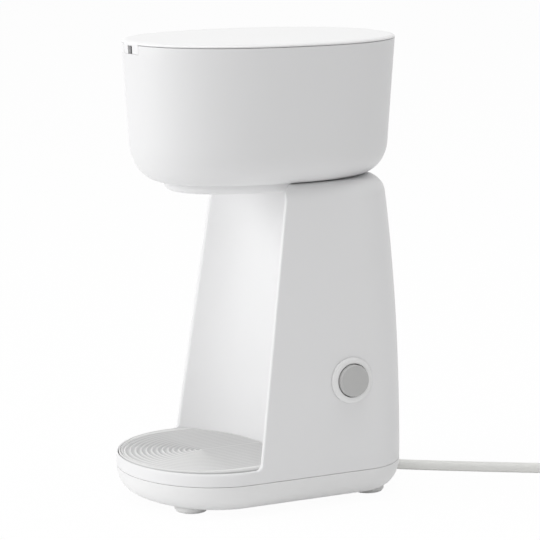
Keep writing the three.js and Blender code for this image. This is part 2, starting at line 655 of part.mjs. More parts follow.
function filterBasket() {
  const lipTop = basketLip + basket.lip;
  const cup = turned([[basket.mouth, basketFloor], [basket.bottomRadius, basketFloor], [basketTopRadius, basketLip],
    [insert.chamberRadius - slip, basketLip], [insert.chamberRadius - slip, lipTop],
    [basketTopRadius - basket.wall, lipTop], [basket.bottomRadius - basket.wall, basketFloor + basket.wall],
    [basket.mouth, basketFloor + basket.wall]], 0, cupY);
  const reach = basketTopRadius + basket.lip - basket.tabThick;
  const tabs = [-1, 1].map((side) => block(basket.tabThick, basket.tabWidth, basket.tabHeight + weld, side * reach, cupY,
    lipTop - weld));
  return join(cup, ...tabs);
}

function filterMesh() {
  const radius = basket.bottomRadius - basket.wall - mesh.clear;
  return bar(radius, mesh.thick, 0, cupY, basketFloor + basket.wall + gap, roundSides);
}

// Lid: oval plate with a locating ring and a slotted lip at the front
function lidPlate() {
  const under = level.headRim + gap;
  const roundStart = level.lidTop - lid.edgeRound;
  const inset = (z) => drawn(lid.edgeWidth, Math.max(0, z - roundStart) / lid.edgeRound);
  const plate = levelLoft([under, ...roundLevels(roundStart, level.lidTop, 3)].map((z) => ovalRing(head, z, inset(z))));
  const offset = insertOffset + insert.wall + slip;
  const low = under - lid.flangeDepth;
  const ringAt = (grow, from, to) => levelLoft([from, to].map((z) => ovalRing(head, z, offset + grow
    + head.draftShare * (level.headRim - low))));
  const flange = cut(ringAt(0, low, under + weld), ringAt(lid.flangeWall, low - overrun, under + overrun));
  const front = headFront(level.headRim);
  const lipBlock = block(lid.lipWidth, head.wall * 2, lid.lipDepth + gap + weld, 0, front, under - lid.lipDepth - gap);
  const lip = common(lipBlock, headBlank(0, level.lidTop));
  const slotTop = under - lid.slotTop;
  const slot = block(lid.slotWidth, overrun * 4, lid.lipDepth, 0, front, slotTop - lid.lipDepth);
  return cut(join(plate, flange, lip), slot);
}

// Water channel under the lid, from the riser to the shower plate
function lidChannel() {
  const top = level.headRim;
  const bottom = top - channel.depth;
  const length = riser.y - cupY + channel.end * 2;
  const middle = mix(cupY, riser.y, half);
  const trough = cut(block(channel.width, length, channel.depth, 0, middle, bottom),
    block(channel.width - channel.wall * 2, length - channel.wall * 2, channel.depth, 0, middle, bottom + channel.wall));
  return cut(trough, bar(hose.bore, overrun, 0, riser.y, bottom - overrun * half),
    bar(shower.hub * half, overrun, 0, cupY, bottom - overrun * half));
}

function showerPlate() {
  const top = level.headRim - channel.depth - gap;
  const bottom = top - shower.drop;
  const plate = join(bar(shower.radius, shower.thick, 0, cupY, bottom, roundSides), bar(shower.hub, shower.drop, 0, cupY, bottom));
  const holes = Array.from({ length: shower.holes }, (unused, i) => {
    const turn = (Math.PI * 2 * i) / shower.holes;
    return bar(shower.holeRadius, overrun, shower.holeRing * Math.cos(turn), cupY + shower.holeRing * Math.sin(turn),
      bottom - overrun * half, smallSides);
  });
  return cut(plate, bar(shower.hub * half, shower.drop, 0, cupY, bottom + shower.thick * half), ...holes);
}

// Hoses: hollow bars, with clamps where they grip a spigot
function hoseAlong(points, steps) {
  const shape = circle(hose.outer, boreSides);
  shape.holes.push(circle(hose.inner, boreSides));
  return alongPath(shape, points, steps);
}

const spigotBottom = insertFloor - feed.spigotDrop;
const valveTop = valve.bottom + valve.height;
const heaterTop = heater.legTop + hose.overlap;
const feedBottom = valveTop + gap;
const inletBottom = heater.legTop + gap;

function feedHose() {
  const top = spigotBottom + hose.overlap;
  return pipe(hose.outer, hose.inner, top - feedBottom, feed.x, heater.y, feedBottom);
}

function inletHose() {
  return pipe(hose.outer, hose.inner, valve.bottom - gap - inletBottom, feed.x, heater.y, inletBottom);
}

function riserTube() {
  const start = inletBottom + hose.overlap + riser.straight * half;
  const end = start + riser.bendHeight;
  const top = insert.innerTop - gap;
  const x = -heater.legX;
  return hoseAlong([[x, heater.y, inletBottom], [x, heater.y, mix(inletBottom, start, half)], [x, heater.y, start],
    [x * half, mix(heater.y, riser.y, half), mix(start, end, half)], [0, riser.y, end],
    [0, riser.y, end + riser.straight], [0, riser.y, mix(end, top, half)], [0, riser.y, top]], heater.steps);
}

function hoseClamp(x, z) {
  return pipe(hose.outer + gap + clamp.thick, hose.outer + gap, clamp.height, x, heater.y, z);
}

function valveBody() {
  const bottomBarb = bar(hose.spigot, hose.overlap + valve.height, feed.x, heater.y, valve.bottom - hose.overlap);
  const topBarb = bar(hose.spigot, hose.overlap + valve.height, feed.x, heater.y, valve.bottom);
  const body = join(bar(valve.radius, valve.height, feed.x, heater.y, valve.bottom), bottomBarb, topBarb);
  const way = bar(hose.bore, valve.height * 3 + overrun, feed.x, heater.y, valve.bottom - valve.height - overrun * half);
  const room = bar(valve.ballRoom, valve.ballRadius * 2 + valve.lift + gap * 2, feed.x, heater.y, ballSeat);
  return cut(body, way, room);
}

const ballSeat = valve.bottom + (valve.height - valve.ballRadius * 2 - valve.lift) * half;

function valveBall() {
  const shape = new THREE.SphereGeometry(valve.ballRadius, boreSides, arcLevels).rotateX(Math.PI * half);
  return solidOf(shape.translate(feed.x, heater.y, ballSeat + gap + Math.sqrt(valve.ballRadius ** 2 - hose.bore ** 2)));
}

// Flow heater: a U of tube with its heating element brazed on the cup side
function uPath(y, top) {
  const points = [[-heater.legX, y, top], [-heater.legX, y, mix(heater.bendZ, top, half)]];
  for (let i = 0; i <= smallSides; i += 1) {
    const turn = Math.PI * (1 + i / smallSides);
    points.push([heater.legX * Math.cos(turn), y, heater.bendZ + heater.legX * Math.sin(turn)]);
  }
  points.push([heater.legX, y, mix(heater.bendZ, top, half)], [heater.legX, y, top]);
  return points;
}

function heaterBody() {
  const u = alongPath(circle(heater.radius, boreSides), uPath(heater.y, heater.legTop), heater.steps);
  const bore = alongPath(circle(hose.bore, smallSides), uPath(heater.y, heaterTop + overrun), heater.steps);
  const spigots = [-1, 1].map((side) => bar(hose.spigot, hose.overlap * 2, side * heater.legX, heater.y,
    heater.legTop - hose.overlap));
  return cut(join(u, ...spigots), bore);
}

const elementY = heater.y - heater.radius - gap - heater.elementRadius;

function heatingElement() {
  const u = alongPath(circle(heater.elementRadius, smallSides), uPath(elementY, heater.elementTop), heater.steps);
  const pins = [-1, 1].map((side) => bar(heater.pinRadius, heater.pinLength * 2, side * heater.legX, elementY,
    heater.elementTop - heater.pinLength, smallSides));
  return join(u, ...pins);
}

// Bracket: bent sheet that stands on the base cover and holds the heater's legs between its ears
const plateY = heater.y + heater.radius + gap;
const earX = heater.legX + heater.radius + gap;

function heaterBracket() {
  const plate = block(earX * 2 + bracket.thick * 2, bracket.thick, bracket.top - bracket.earBottom, 0,
    plateY + bracket.thick * half, bracket.earBottom);
  const stem = block(bracket.width, bracket.thick, bracket.earBottom - bracket.bottom + weld, 0, plateY + bracket.thick * half,
    bracket.bottom);
  const sole = block(bracket.width + bracket.postX * 2, bracket.foot, bracket.thick, -bracket.postX * half,
    plateY + bracket.thick - bracket.foot * half, bracket.bottom);
  const ears = [-1, 1].map((side) => block(bracket.thick, bracket.earDepth + bracket.thick, bracket.earHeight,
    side * (earX + bracket.thick * half), plateY + bracket.thick - (bracket.earDepth + bracket.thick) * half, bracket.earBottom));
  const holes = bracketPosts().map(([x, y]) => bar(bracketScrew.radius + gap, overrun, x, y,
    bracket.bottom - overrun * half, smallSides));
  return cut(join(plate, stem, sole, ...ears), ...holes);
}

function bracketScrewAt(x, y) {
  const top = bracket.bottom + bracket.thick + gap;
  return join(bar(bracketScrew.headRadius, bracketScrew.headHeight, x, y, top, smallSides),
    bar(bracketScrew.radius, bracketScrew.length, x, y, top + bracketScrew.headHeight - bracketScrew.length, smallSides));
}

const bendBottom = heater.bendZ - heater.legX - heater.radius;

function thermostatBody() {
  const top = bendBottom - gap;
  return join(bar(thermostat.radius, thermostat.height, 0, heater.y, top - thermostat.height),
    block(thermostat.radius * 3, thermostat.clipWidth * half, thermostat.height * half * half, 0, heater.y,
      top - thermostat.height * half));
}

function thermostatClip() {
  const z = bendBottom - gap * 2 - thermostat.height - bracket.thick;
  const front = heater.y - thermostat.radius;
  const depth = plateY - gap - front;
  const strap = block(thermostat.clipWidth, depth, bracket.thick, 0, front + depth * half, z);
  const tab = block(thermostat.clipWidth, bracket.thick, thermostat.height, 0, plateY - gap - bracket.thick * half,
    z - thermostat.height + bracket.thick);
  return join(strap, tab);
}

function thermalFuse(side) {
  return bar(fuse.radius, fuse.length, side * (heater.legX + heater.radius + gap + fuse.radius), heater.y, fuse.bottom, smallSides);
}

// Push button, laid out along +x from the housing's surface
function buttonBezel() {
  return turnedAlongX([[button.bezelBore, -button.sleeveDepth], [button.sleeveRadius, -button.sleeveDepth],
    [button.sleeveRadius, gap], [button.bezelRadius, gap], [button.bezelRadius - button.capRound * half, button.bezelProud * half],
    [button.bezelBore + button.capRound, button.bezelProud], [button.bezelBore, button.bezelProud - button.capRound * half]]);
}

function buttonCap() {
  const back = button.capProud - button.capDepth;
  const stemEnd = back - spring.radius;
  return turnedAlongX([[0, stemEnd], [button.stemRadius, stemEnd], [button.stemRadius, back], [button.capRadius, back],
    [button.capRadius, button.capProud - button.capRound], [button.capRadius - button.capRound, button.capProud],
    [0, button.capProud]]);
}

function switchPlunger() {
  const start = button.capProud - button.capDepth - spring.radius - gap;
  return turnedAlongX([[0, start], [button.stemRadius, start], [button.stemRadius, -toggle.front - toggle.room * half],
    [0, -toggle.front - toggle.room * half]], smallSides);
}

function switchBody() {
  const box = new THREE.BoxGeometry(toggle.depth, toggle.width, toggle.height)
    .translate(-toggle.front - toggle.depth * half, 0, 0);
  const well = turnedAlongX([[0, -toggle.front - toggle.room], [button.stemRadius + gap, -toggle.front - toggle.room],
    [button.stemRadius + gap, overrun - toggle.front], [0, overrun - toggle.front]], smallSides);
  return cut(solidOf(box), well);
}

function switchTab(i) {
  const place = (i - (toggle.tabs - 1) * half) * toggle.tabPitch;
  return solidOf(new THREE.BoxGeometry(toggle.tabLength, toggle.tabWidth, toggle.tabThick)
    .translate(-toggle.front - toggle.depth - gap - toggle.tabLength * half, 0, place));
}

// Return spring round the button's stem, clear of the cap when it is pressed
const springFrom = -toggle.front + gap + spring.wire;
const springTo = button.capProud - button.capDepth - button.travel - gap - spring.wire;

function buttonSpring() {
  const count = spring.turns * spring.steps;
  const rings = [];
  for (let i = 0; i <= count; i += 1) {
    const turn = (Math.PI * 2 * i) / spring.steps;
    const ring = [];
    for (let j = 0; j < spring.sides; j += 1) {
      const roll = (Math.PI * 2 * j) / spring.sides;
      const reach = spring.radius + spring.wire * Math.cos(roll);
      ring.push(new THREE.Vector3(mix(springFrom, springTo, i / count) + spring.wire * Math.sin(roll),
        reach * Math.cos(turn), reach * Math.sin(turn)));
    }
    rings.push(ring);
  }
  return loft(rings, fanCaps(spring.sides));
}

// Mains side: terminal block, cord clamp, inner cord tail and wires
const coverFloor = level.coverBottom + base.wall;
const notchWallY = notch.frontY - notch.roof;

function terminalBlock() {
  const body = block(terminal.length, terminal.width, terminal.height, terminal.x, terminal.y, coverFloor + gap);
  const ways = [-1, 0, 1].map((i) => block(terminal.length / 5, terminal.width + overrun, terminal.height * half,
    terminal.x + (i * terminal.length) / 3, terminal.y, coverFloor + gap + terminal.height * half * half));
  return cut(body, ...ways);
}

function cordTail() {
  const end = notchWallY - relief.grip - gap;
  const shape = new THREE.CylinderGeometry(cord.radius, cord.radius, end - inner.tailY, smallSides);
  return solidOf(shape.translate(cord.exitX, mix(inner.tailY, end, half), cord.exitZ));
}

function strainRelief() {
  const shape = new THREE.LatheGeometry([[0, -relief.grip], [relief.rootRadius, -relief.grip],
    [relief.rootRadius, -gap], [relief.gripRadius, -gap], [relief.gripRadius, notch.roof + gap],
    [relief.rootRadius, notch.roof + gap], [relief.tipRadius, relief.length], [0, relief.length]]
    .map(([r, y]) => new THREE.Vector2(r, y)), boreSides);
  return solidOf(shape.translate(cord.exitX, notchWallY, cord.exitZ));
}

// Coil: the unseen length wound in one unbroken tube, in on the lower layer and out on the upper
const coilStart = new THREE.Vector3(...cordRoute[cordRoute.length - 1]);
const coilHeading = coilStart.clone().sub(new THREE.Vector3(...cordRoute[cordRoute.length - 2])).setZ(0).normalize();
const coilEntry = coilStart.clone().addScaledVector(coilHeading, coil.stretch + gap);
const coilMiddle = coilEntry.clone().add(new THREE.Vector3(-coilHeading.y, coilHeading.x, 0).multiplyScalar(coil.radius));

function coilPlace(turns) {
  const start = Math.atan2(coilEntry.y - coilMiddle.y, coilEntry.x - coilMiddle.x);
  const angle = start + Math.PI * 2 * turns;
  const reverse = coil.turns * half;
  const radius = coil.radius - coil.pitch * Math.min(turns, coil.turns - turns);
  const share = THREE.MathUtils.smoothstep(turns, reverse - coil.climb * half, reverse + coil.climb * half);
  const z = coil.lift + coil.layer * share;
  return new THREE.Vector3(coilMiddle.x + radius * Math.cos(angle), coilMiddle.y + radius * Math.sin(angle), z);
}

function coilLine() {
  const count = coil.turns * coil.steps;
  const turns = Array.from({ length: count + 1 }, (unused, i) => coilPlace((coil.turns * i) / count));
  const lead = coilEntry.clone().addScaledVector(coilHeading, -coil.stretch);
  const trail = turns[count].clone().addScaledVector(coilHeading, coil.tail);
  return [lead, ...turns, trail];
}

function cordCoil() {
  const line = coilLine();
  const rings = line.map((point, i) => {
    const before = line[Math.max(0, i - 1)];
    const after = line[Math.min(line.length - 1, i + 1)];
    const ahead = after.clone().sub(before).normalize();
    const aside = new THREE.Vector3(ahead.y, -ahead.x, 0).normalize();
    const above = aside.clone().cross(ahead);
    return Array.from({ length: coil.sides }, (unused, j) => {
      const roll = (Math.PI * 2 * (j + half)) / coil.sides;
      return point.clone().addScaledVector(aside, cord.radius * Math.cos(roll)).addScaledVector(above, cord.radius * Math.sin(roll));
    });
  });
  return loft(rings, fanCaps(coil.sides));
}

// Least gap of a winding to itself, measured between points of its middle line
function leastGap(line, apart, radius) {
  let least = Infinity;
  for (let i = 0; i < line.length; i += 1) {
    for (let j = i + apart; j < line.length; j += 1) {
      least = Math.min(least, line[i].distanceTo(line[j]));
    }
  }
  return least - radius * 2;
}

function springLine() {
  return Array.from({ length: spring.turns * spring.steps + 1 }, (unused, i) => {
    const turn = (Math.PI * 2 * i) / spring.steps;
    const along = mix(springFrom, springTo, i / (spring.turns * spring.steps));
    return new THREE.Vector3(along, spring.radius * Math.cos(turn), spring.radius * Math.sin(turn));
  });
}

function powerCord() {
  return alongPath(circle(cord.radius, cord.sides), cordRoute, cord.steps);
}

function cordTie() {
  const turns = tie.angle / (Math.PI * 2);
  const inward = coil.radius - coil.pitch * coil.turns * half - cord.radius - tie.room;
  const outward = coil.radius + cord.radius + tie.room;
  const low = coil.lift - cord.radius - tie.room;
  const high = coil.lift + coil.layer + cord.radius + tie.room;
  const band = (grow, width) => new THREE.BoxGeometry(outward - inward + grow * 2, width, high - low + grow * 2)
    .translate(mix(inward, outward, half), 0, mix(low, high, half)).rotateZ(tie.angle).translate(coilMiddle.x, coilMiddle.y, 0);
  return cut(solidOf(band(tie.thick, tie.width)), solidOf(band(0, tie.width + overrun)));
}

// Plug: low angled body that lies on its back, with a tapered neck and two pins
const coilEnd = coilLine()[coilLine().length - 1];
const plugMiddle = coilEnd.clone().addScaledVector(coilHeading, gap + plug.neckLength + plug.radius - plug.round);

function plugBody() {
  const top = plug.base + plug.height;
  const body = turned([[0, plug.base], [plug.radius - plug.round, plug.base], [plug.radius, plug.base + plug.round],
    [plug.radius, top - plug.round], [plug.radius - plug.round, top], [0, top]], plugMiddle.x, plugMiddle.y);
  const neck = new THREE.CylinderGeometry(plug.neckTip, plug.neckRoot, plug.neckLength, boreSides)
    .translate(0, plug.neckLength * half, 0).rotateZ(Math.PI * half + Math.PI * half)
    .rotateZ(Math.atan2(coilHeading.y, coilHeading.x) - Math.PI * half)
    .translate(coilEnd.x + coilHeading.x * (gap + plug.neckLength), coilEnd.y + coilHeading.y * (gap + plug.neckLength), coilEnd.z);
  return join(body, solidOf(neck));
}

function plugPin(side) {
  const aside = new THREE.Vector3(-coilHeading.y, coilHeading.x, 0).multiplyScalar(side * plug.pinPitch * half);
  return bar(plug.pinRadius, plug.pinLength, plugMiddle.x + aside.x, plugMiddle.y + aside.y, plug.base + plug.height + gap);
}

// Wires: from the terminal block to the switch and the heating element's pins
function wireAlong(points) {
  return alongPath(circle(wire.radius, wire.sides), points, wire.steps);
}

const wireZ = coverFloor + gap + terminal.height * half;
const mouthY = terminal.y + terminal.width * half;
const pinZ = heater.elementTop + heater.pinLength * half;

function fromBlock(way) {
  const x = terminal.x + (way * terminal.length) / 3;
  return [[x, mouthY - wire.lead, wireZ], [x, mouthY, wireZ], [x, mouthY + wire.lead, wireZ]];
}

function tabEnd(i) {
  const place = (i - (toggle.tabs - 1) * half) * toggle.tabPitch;
  const reach = -toggle.front - toggle.depth - gap - toggle.tabLength - wire.clear;
  return new THREE.Vector3(reach, 0, place).applyEuler(new THREE.Euler(0, -lean, 0)).add(buttonPlace);
}

function lineWire() {
  const end = tabEnd(0);
  const run = fromBlock(-1);
  return wireAlong([...run, [run[0][0], end.y, mix(wireZ, end.z, wire.lowShare)],
    [end.x - wire.lead, end.y, mix(wireZ, end.z, wire.highShare)], [end.x - wire.lead * half, end.y, end.z - wire.radius],
    end.toArray()]);
}

function neutralWire() {
  const run = fromBlock(0);
  const y = mouthY + wire.lead;
  const x = -heater.legX - wire.lead;
  return wireAlong([...run, [run[0][0] - wire.lead, y, wireZ + wire.lead], [0, y, mix(wireZ, pinZ, wire.midShare)],
    [x, y, mix(wireZ, pinZ, wire.highShare)], [x, elementY - wire.radius, pinZ - wire.radius],
    [-heater.legX - heater.pinRadius - wire.clear, elementY, pinZ]]);
}

function switchWire() {
  const start = tabEnd(1);
  const x = heater.legX - wire.lead;
  return wireAlong([start.toArray(), [start.x - wire.lead * half, start.y, start.z + wire.radius],
    [x, start.y, mix(start.z, pinZ, half)], [x, mix(start.y, elementY, wire.highShare), pinZ - wire.radius],
    [heater.legX - heater.pinRadius - wire.clear, elementY, pinZ]]);
}

// Materials and nodes
const finish = (color, roughness, metalness = 0) => new THREE.MeshStandardMaterial({ color, roughness, metalness });
const white = finish('#e9e9e7', 0.45);
const grey = finish('#c8c8c3', 0.55);
const capGrey = finish('#acacaa', 0.5);
const clear = finish('#dfe3e3', 0.3);
const rubber = finish('#c3c7be', 0.8);
const silicone = finish('#e4e2da', 0.6);
const steel = finish('#b9bbbd', 0.35, 1);
const alloy = finish('#c9cacc', 0.4, 1);
const dark = finish('#3a3a3c', 0.6);
const brass = finish('#b89b52', 0.35, 1);
const sheath = finish('#dddcd6', 0.55);

const machine = new THREE.Group();
const add = (name, solid, material, parent = machine) => {
  const piece = new THREE.Mesh(geometryOf(solid), material);
  piece.name = name;
  parent.add(piece);
};

add('main_housing', mainHousing(), white);
add('base_cover', baseCover(), white);
add('drip_tray', dripTray(), grey);
['right', 'left'].reverse().forEach((side, i) => {
  add(`front_${side}_foot`, footPad(...footPlaces()[i * 2]), rubber);
  add(`back_${side}_foot`, footPad(...footPlaces()[i * 2 + 1]), rubber);
});
coverScrewPlaces.forEach(([x, y], i) => add(`cover_screw_${i + 1}`, coverScrewAt(x, y), steel));
add('head_shell', headShell(), white);
add('head_insert', headInsert(), clear);
add('outlet_shroud', outletShroud(), white);
add('drip_spout', dripSpout(), clear);
headScrewPlaces.forEach(([x, y], i) => add(`head_screw_${i + 1}`, headScrewAt(x, y), steel));
add('filter_basket', filterBasket(), dark);
add('filter_mesh', filterMesh(), steel);
add('lid', lidPlate(), white);
add('lid_channel', lidChannel(), clear);
add('shower_plate', showerPlate(), clear);
add('feed_hose', feedHose(), silicone);
add('inlet_hose', inletHose(), silicone);
add('riser_tube', riserTube(), silicone);
add('check_valve_body', valveBody(), clear);
add('valve_ball', valveBall(), steel);
const clampPlaces = [[feed.x, spigotBottom + clamp.height], [feed.x, feedBottom + clamp.height],
  [feed.x, valve.bottom - clamp.height * 2], [feed.x, inletBottom + clamp.height * half],
  [-heater.legX, inletBottom + clamp.height * half]];
clampPlaces.forEach(([x, z], i) => add(`hose_clamp_${i + 1}`, hoseClamp(x, z), steel));
add('heater_body', heaterBody(), alloy);
add('heating_element', heatingElement(), steel);
add('heater_bracket', heaterBracket(), steel);
bracketPosts().forEach(([x, y], i) => add(`bracket_screw_${i + 1}`, bracketScrewAt(x, y), steel));
add('thermostat', thermostatBody(), dark);
add('thermostat_clip', thermostatClip(), steel);
add('thermal_fuse_left', thermalFuse(-1), white);
add('thermal_fuse_right', thermalFuse(1), white);

const switchGroup = new THREE.Group();
switchGroup.position.copy(buttonPlace);
switchGroup.rotation.y = -lean;
machine.add(switchGroup);
add('button_bezel', buttonBezel(), white, switchGroup);
add('button_cap', buttonCap(), capGrey, switchGroup);
add('button_spring', buttonSpring(), steel, switchGroup);
add('switch_plunger', switchPlunger(), white, switchGroup);
add('switch_body', switchBody(), dark, switchGroup);
for (let i = 0; i < toggle.tabs; i += 1) add(`switch_tab_${i + 1}`, switchTab(i), brass, switchGroup);

add('terminal_block', terminalBlock(), white);
add('line_wire', lineWire(), dark);
add('neutral_wire', neutralWire(), white);
add('switch_wire', switchWire(), dark);
add('cord_tail', cordTail(), sheath);
add('strain_relief', strainRelief(), sheath);
add('power_cord', powerCord(), sheath);
add('cord_coil', cordCoil(), sheath);
add('cord_tie', cordTie(), dark);
add('plug_body', plugBody(), sheath);
add('plug_pin_left', plugPin(-1), steel);
add('plug_pin_right', plugPin(1), steel);
console.log('least gap of the cord coil to itself, mm:', leastGap(coilLine(), coil.steps * half, cord.radius).toFixed(2));
console.log('least gap of the spring to itself, mm:', leastGap(springLine(), spring.steps * half, spring.wire).toFixed(2));

// The button stands proud on one side, so the machine is centred on its own box
const buttonReach = button.capProud * Math.cos(lean) + (button.capRadius - button.capRound) * Math.sin(lean);
machine.position.x = -(buttonPlace.x + buttonReach - base.halfWidth) * half;

export default machine;
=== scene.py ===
import math
import bmesh
import bpy
from mathutils import Matrix, Vector


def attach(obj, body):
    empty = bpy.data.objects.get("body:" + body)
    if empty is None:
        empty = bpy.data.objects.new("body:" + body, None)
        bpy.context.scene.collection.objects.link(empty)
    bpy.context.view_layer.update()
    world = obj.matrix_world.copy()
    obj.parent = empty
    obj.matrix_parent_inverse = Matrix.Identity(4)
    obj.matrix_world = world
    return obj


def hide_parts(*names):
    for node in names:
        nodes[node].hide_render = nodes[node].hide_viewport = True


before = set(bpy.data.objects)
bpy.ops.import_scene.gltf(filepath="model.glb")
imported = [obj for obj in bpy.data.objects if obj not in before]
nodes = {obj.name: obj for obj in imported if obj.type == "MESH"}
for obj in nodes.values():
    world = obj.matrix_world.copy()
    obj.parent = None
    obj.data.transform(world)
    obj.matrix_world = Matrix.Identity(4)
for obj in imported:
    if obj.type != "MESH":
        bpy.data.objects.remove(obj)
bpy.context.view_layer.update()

# Sizes are in millimetres about the machine's middle line; place() brings them into the frame
mm = 0.001
shiftX = -1.165107
weldDistance = 0.000004
sharpAngle = 32
shellAngle = 35
panelAngle = 40
screwAngle = 25
white = (1, 1, 1, 1)


def place(point):
    return Vector(((point[0] + shiftX) * mm, point[1] * mm, point[2] * mm))


def mix(low, high, share):
    return low + (high - low) * share


def spread(low, high, count):
    return [mix(low, high, i / count) for i in range(count + 1)]


def drawn(width, share):
    return width * (1 - math.sqrt(max(0, 1 - share * share)))


# How far a round edge is short of its corner, upwards and inwards, along a quarter turn
def quarter(steps):
    return [(1 - math.sin(t), 1 - math.cos(t)) for t in spread(0, math.pi / 2, steps)]


def eased(share):
    return share * share * (3 - 2 * share)


# Camera
camera = dict(target=(0, 9.66, 140.2), distance=1548.3, azimuth=62.5, elevation=10.3, lens=164.66, sensor=36,
              clipStart=0.05, clipEnd=40)


def linked(name, data):
    item = bpy.data.objects.new(name, data)
    bpy.context.scene.collection.objects.link(item)
    return item


def lookAlong(item, ray):
    item.rotation_mode = "QUATERNION"
    item.rotation_quaternion = ray.to_track_quat("-Z", "Y")


def makeCamera():
    data = bpy.data.cameras.new("camera")
    item = linked("camera", data)
    turn, rise = math.radians(camera["azimuth"]), math.radians(camera["elevation"])
    back = Vector((math.sin(turn) * math.cos(rise), -math.cos(turn) * math.cos(rise), math.sin(rise)))
    item.location = place(camera["target"]) + back * camera["distance"] * mm
    lookAlong(item, -back)
    data.sensor_width = camera["sensor"]
    data.lens = camera["lens"]
    data.clip_start = camera["clipStart"]
    data.clip_end = camera["clipEnd"]
    bpy.context.scene.camera = item


makeCamera()


# Mesh tools
def meshObject(name, points, faces, sharp=sharpAngle):
    mesh = bpy.data.meshes.new(name)
    mesh.from_pydata([place(p) for p in points], [], faces)
    work = bmesh.new()
    work.from_mesh(mesh)
    bmesh.ops.remove_doubles(work, verts=work.verts, dist=weldDistance)
    bmesh.ops.dissolve_degenerate(work, edges=work.edges, dist=weldDistance / 2)
    bmesh.ops.recalc_face_normals(work, faces=work.faces)
    work.to_mesh(mesh)
    work.free()
    smooth(mesh, sharp)
    return linked(name, mesh)


def smooth(mesh, sharp):
    mesh.polygons.foreach_set("use_smooth", [True] * len(mesh.polygons))
    mesh.set_sharp_from_angle(angle=math.radians(sharp))


# Adds a skin through rows of points to a pair of lists
def addSkin(points, faces, rows, closed=False):
    count = len(rows[0])
    for r in range(len(rows) - 1):
        start = len(points) + r * count
        for i in range(count if closed else count - 1):
            a, b = start + i, start + (i + 1) % count
            faces.append((a, b, b + count, a + count))
    for row in rows:
        points += row


def addCap(points, faces, ring):
    faces.append(tuple(range(len(points), len(points) + len(ring))))
    points += ring


# Piece with a closed skin through rows of points, and a cap on each of the given rings
def skinned(name, rows, caps=(), sharp=sharpAngle):
    points, faces = [], []
    addSkin(points, faces, rows, closed=True)
    for ring in caps:
        addCap(points, faces, ring)
    return meshObject(name, points, faces, sharp)


def loft(name, rings, sharp=sharpAngle):
    return skinned(name, rings, (rings[0], rings[-1]), sharp)


# Profile of (radius, height) turned about an upright axis; one that ends where it starts makes a ring
def turned(name, profile, sides=96, middle=(0, 0), sharp=sharpAngle):
    turns = [2 * math.pi * i / sides for i in range(sides)]
    rings = [[(middle[0] + r * math.cos(t), middle[1] + r * math.sin(t), z) for t in turns]
             for r, z in profile]
    caps = [] if profile[0] == profile[-1] else [rings[i] for i in (0, -1) if profile[i][0] > 0]
    return skinned(name, rings, caps, sharp)


# Round corner from one point by another to a third
def cornerCurve(start, corner, end, steps):
    return [tuple(start * (1 - t) ** 2 + corner * 2 * t * (1 - t) + end * t * t) for t in spread(0, 1, steps)]


# Rounds the corners of a flat profile
def roundedProfile(corners, steps=5):
    line = []
    for i, (x, y, r) in enumerate(corners):
        if r <= 0:
            line.append((x, y))
            continue
        here = Vector((x, y))
        before, after = Vector(corners[i - 1][:2]), Vector(corners[(i + 1) % len(corners)][:2])
        start = here + (before - here).normalized() * r
        end = here + (after - here).normalized() * r
        line += cornerCurve(start, here, end, steps)
    return line


# Rectangle with its two low corners and its two high ones rounded
def roundedBox(left, right, low, high, lowRound, highRound, steps=5):
    return roundedProfile([(left, low, lowRound), (right, low, lowRound), (right, high, highRound),
                           (left, high, highRound)], steps)


# Bar along y whose section is a flat profile of (x, z)
def barAlongY(name, section, near, far):
    return loft(name, [[(x, y, z) for x, z in section] for y in (near, far)])


def boxCutter(name, low, high):
    work = bmesh.new()
    bmesh.ops.create_cube(work, size=1)
    a, b = place(low), place(high)
    for v in work.verts:
        v.co = Vector((mix(a[i], b[i], v.co[i] + 0.5) for i in range(3)))
    return cutterObject(name, work)


def barCutter(name, radius, start, end, sides=64):
    work = bmesh.new()
    a, b = place(start), place(end)
    bmesh.ops.create_cone(work, cap_ends=True, segments=sides, radius1=radius * mm, radius2=radius * mm,
                          depth=(b - a).length)
    turn = (b - a).to_track_quat("Z", "Y").to_matrix().to_4x4()
    work.transform(Matrix.Translation((a + b) / 2) @ turn)
    return cutterObject(name, work)


def uprightBar(name, radius, spot, low, high, sides=64):
    return barCutter(name, radius, (*spot, low), (*spot, high), sides)


def cutterObject(name, work):
    mesh = bpy.data.meshes.new(name)
    work.to_mesh(mesh)
    work.free()
    return linked(name, mesh)


def combine(item, others, operation="DIFFERENCE", sharp=sharpAngle):
    for other in others:
        step = item.modifiers.new("step", "BOOLEAN")
        step.operation = operation
        step.solver = "MANIFOLD"
        step.object = other
    bakeShape(item)
    for other in others:
        bpy.data.objects.remove(other)
    smooth(item.data, sharp)
    return item


# Turns the evaluated shape into the object's own plain mesh
def bakeShape(item):
    bpy.context.view_layer.update()
    evaluated = item.evaluated_get(bpy.context.evaluated_depsgraph_get())
    made = bpy.data.meshes.new_from_object(evaluated)
    item.modifiers.clear()
    old = item.data
    item.data = made
    made.name = item.name
    bpy.data.meshes.remove(old)


def fit(item, body, material, stands=()):
    item.data.materials.clear()
    item.data.materials.append(material)
    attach(item, body)
    if stands:
        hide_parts(*stands)
    return item


# Sets a socket's value, or links another socket to it
def feed(tree, socket, value):
    if isinstance(value, bpy.types.NodeSocket):
        tree.links.new(value, socket)
    else:
        socket.default_value = value


# New node whose inputs are fed by name
def newNode(tree, kind, group=None, **inputs):
    node = tree.nodes.new(kind)
    if group:
        node.node_tree = group
    for label, value in inputs.items():
        feed(tree, node.inputs[label.replace("_", " ")], value)
    return node


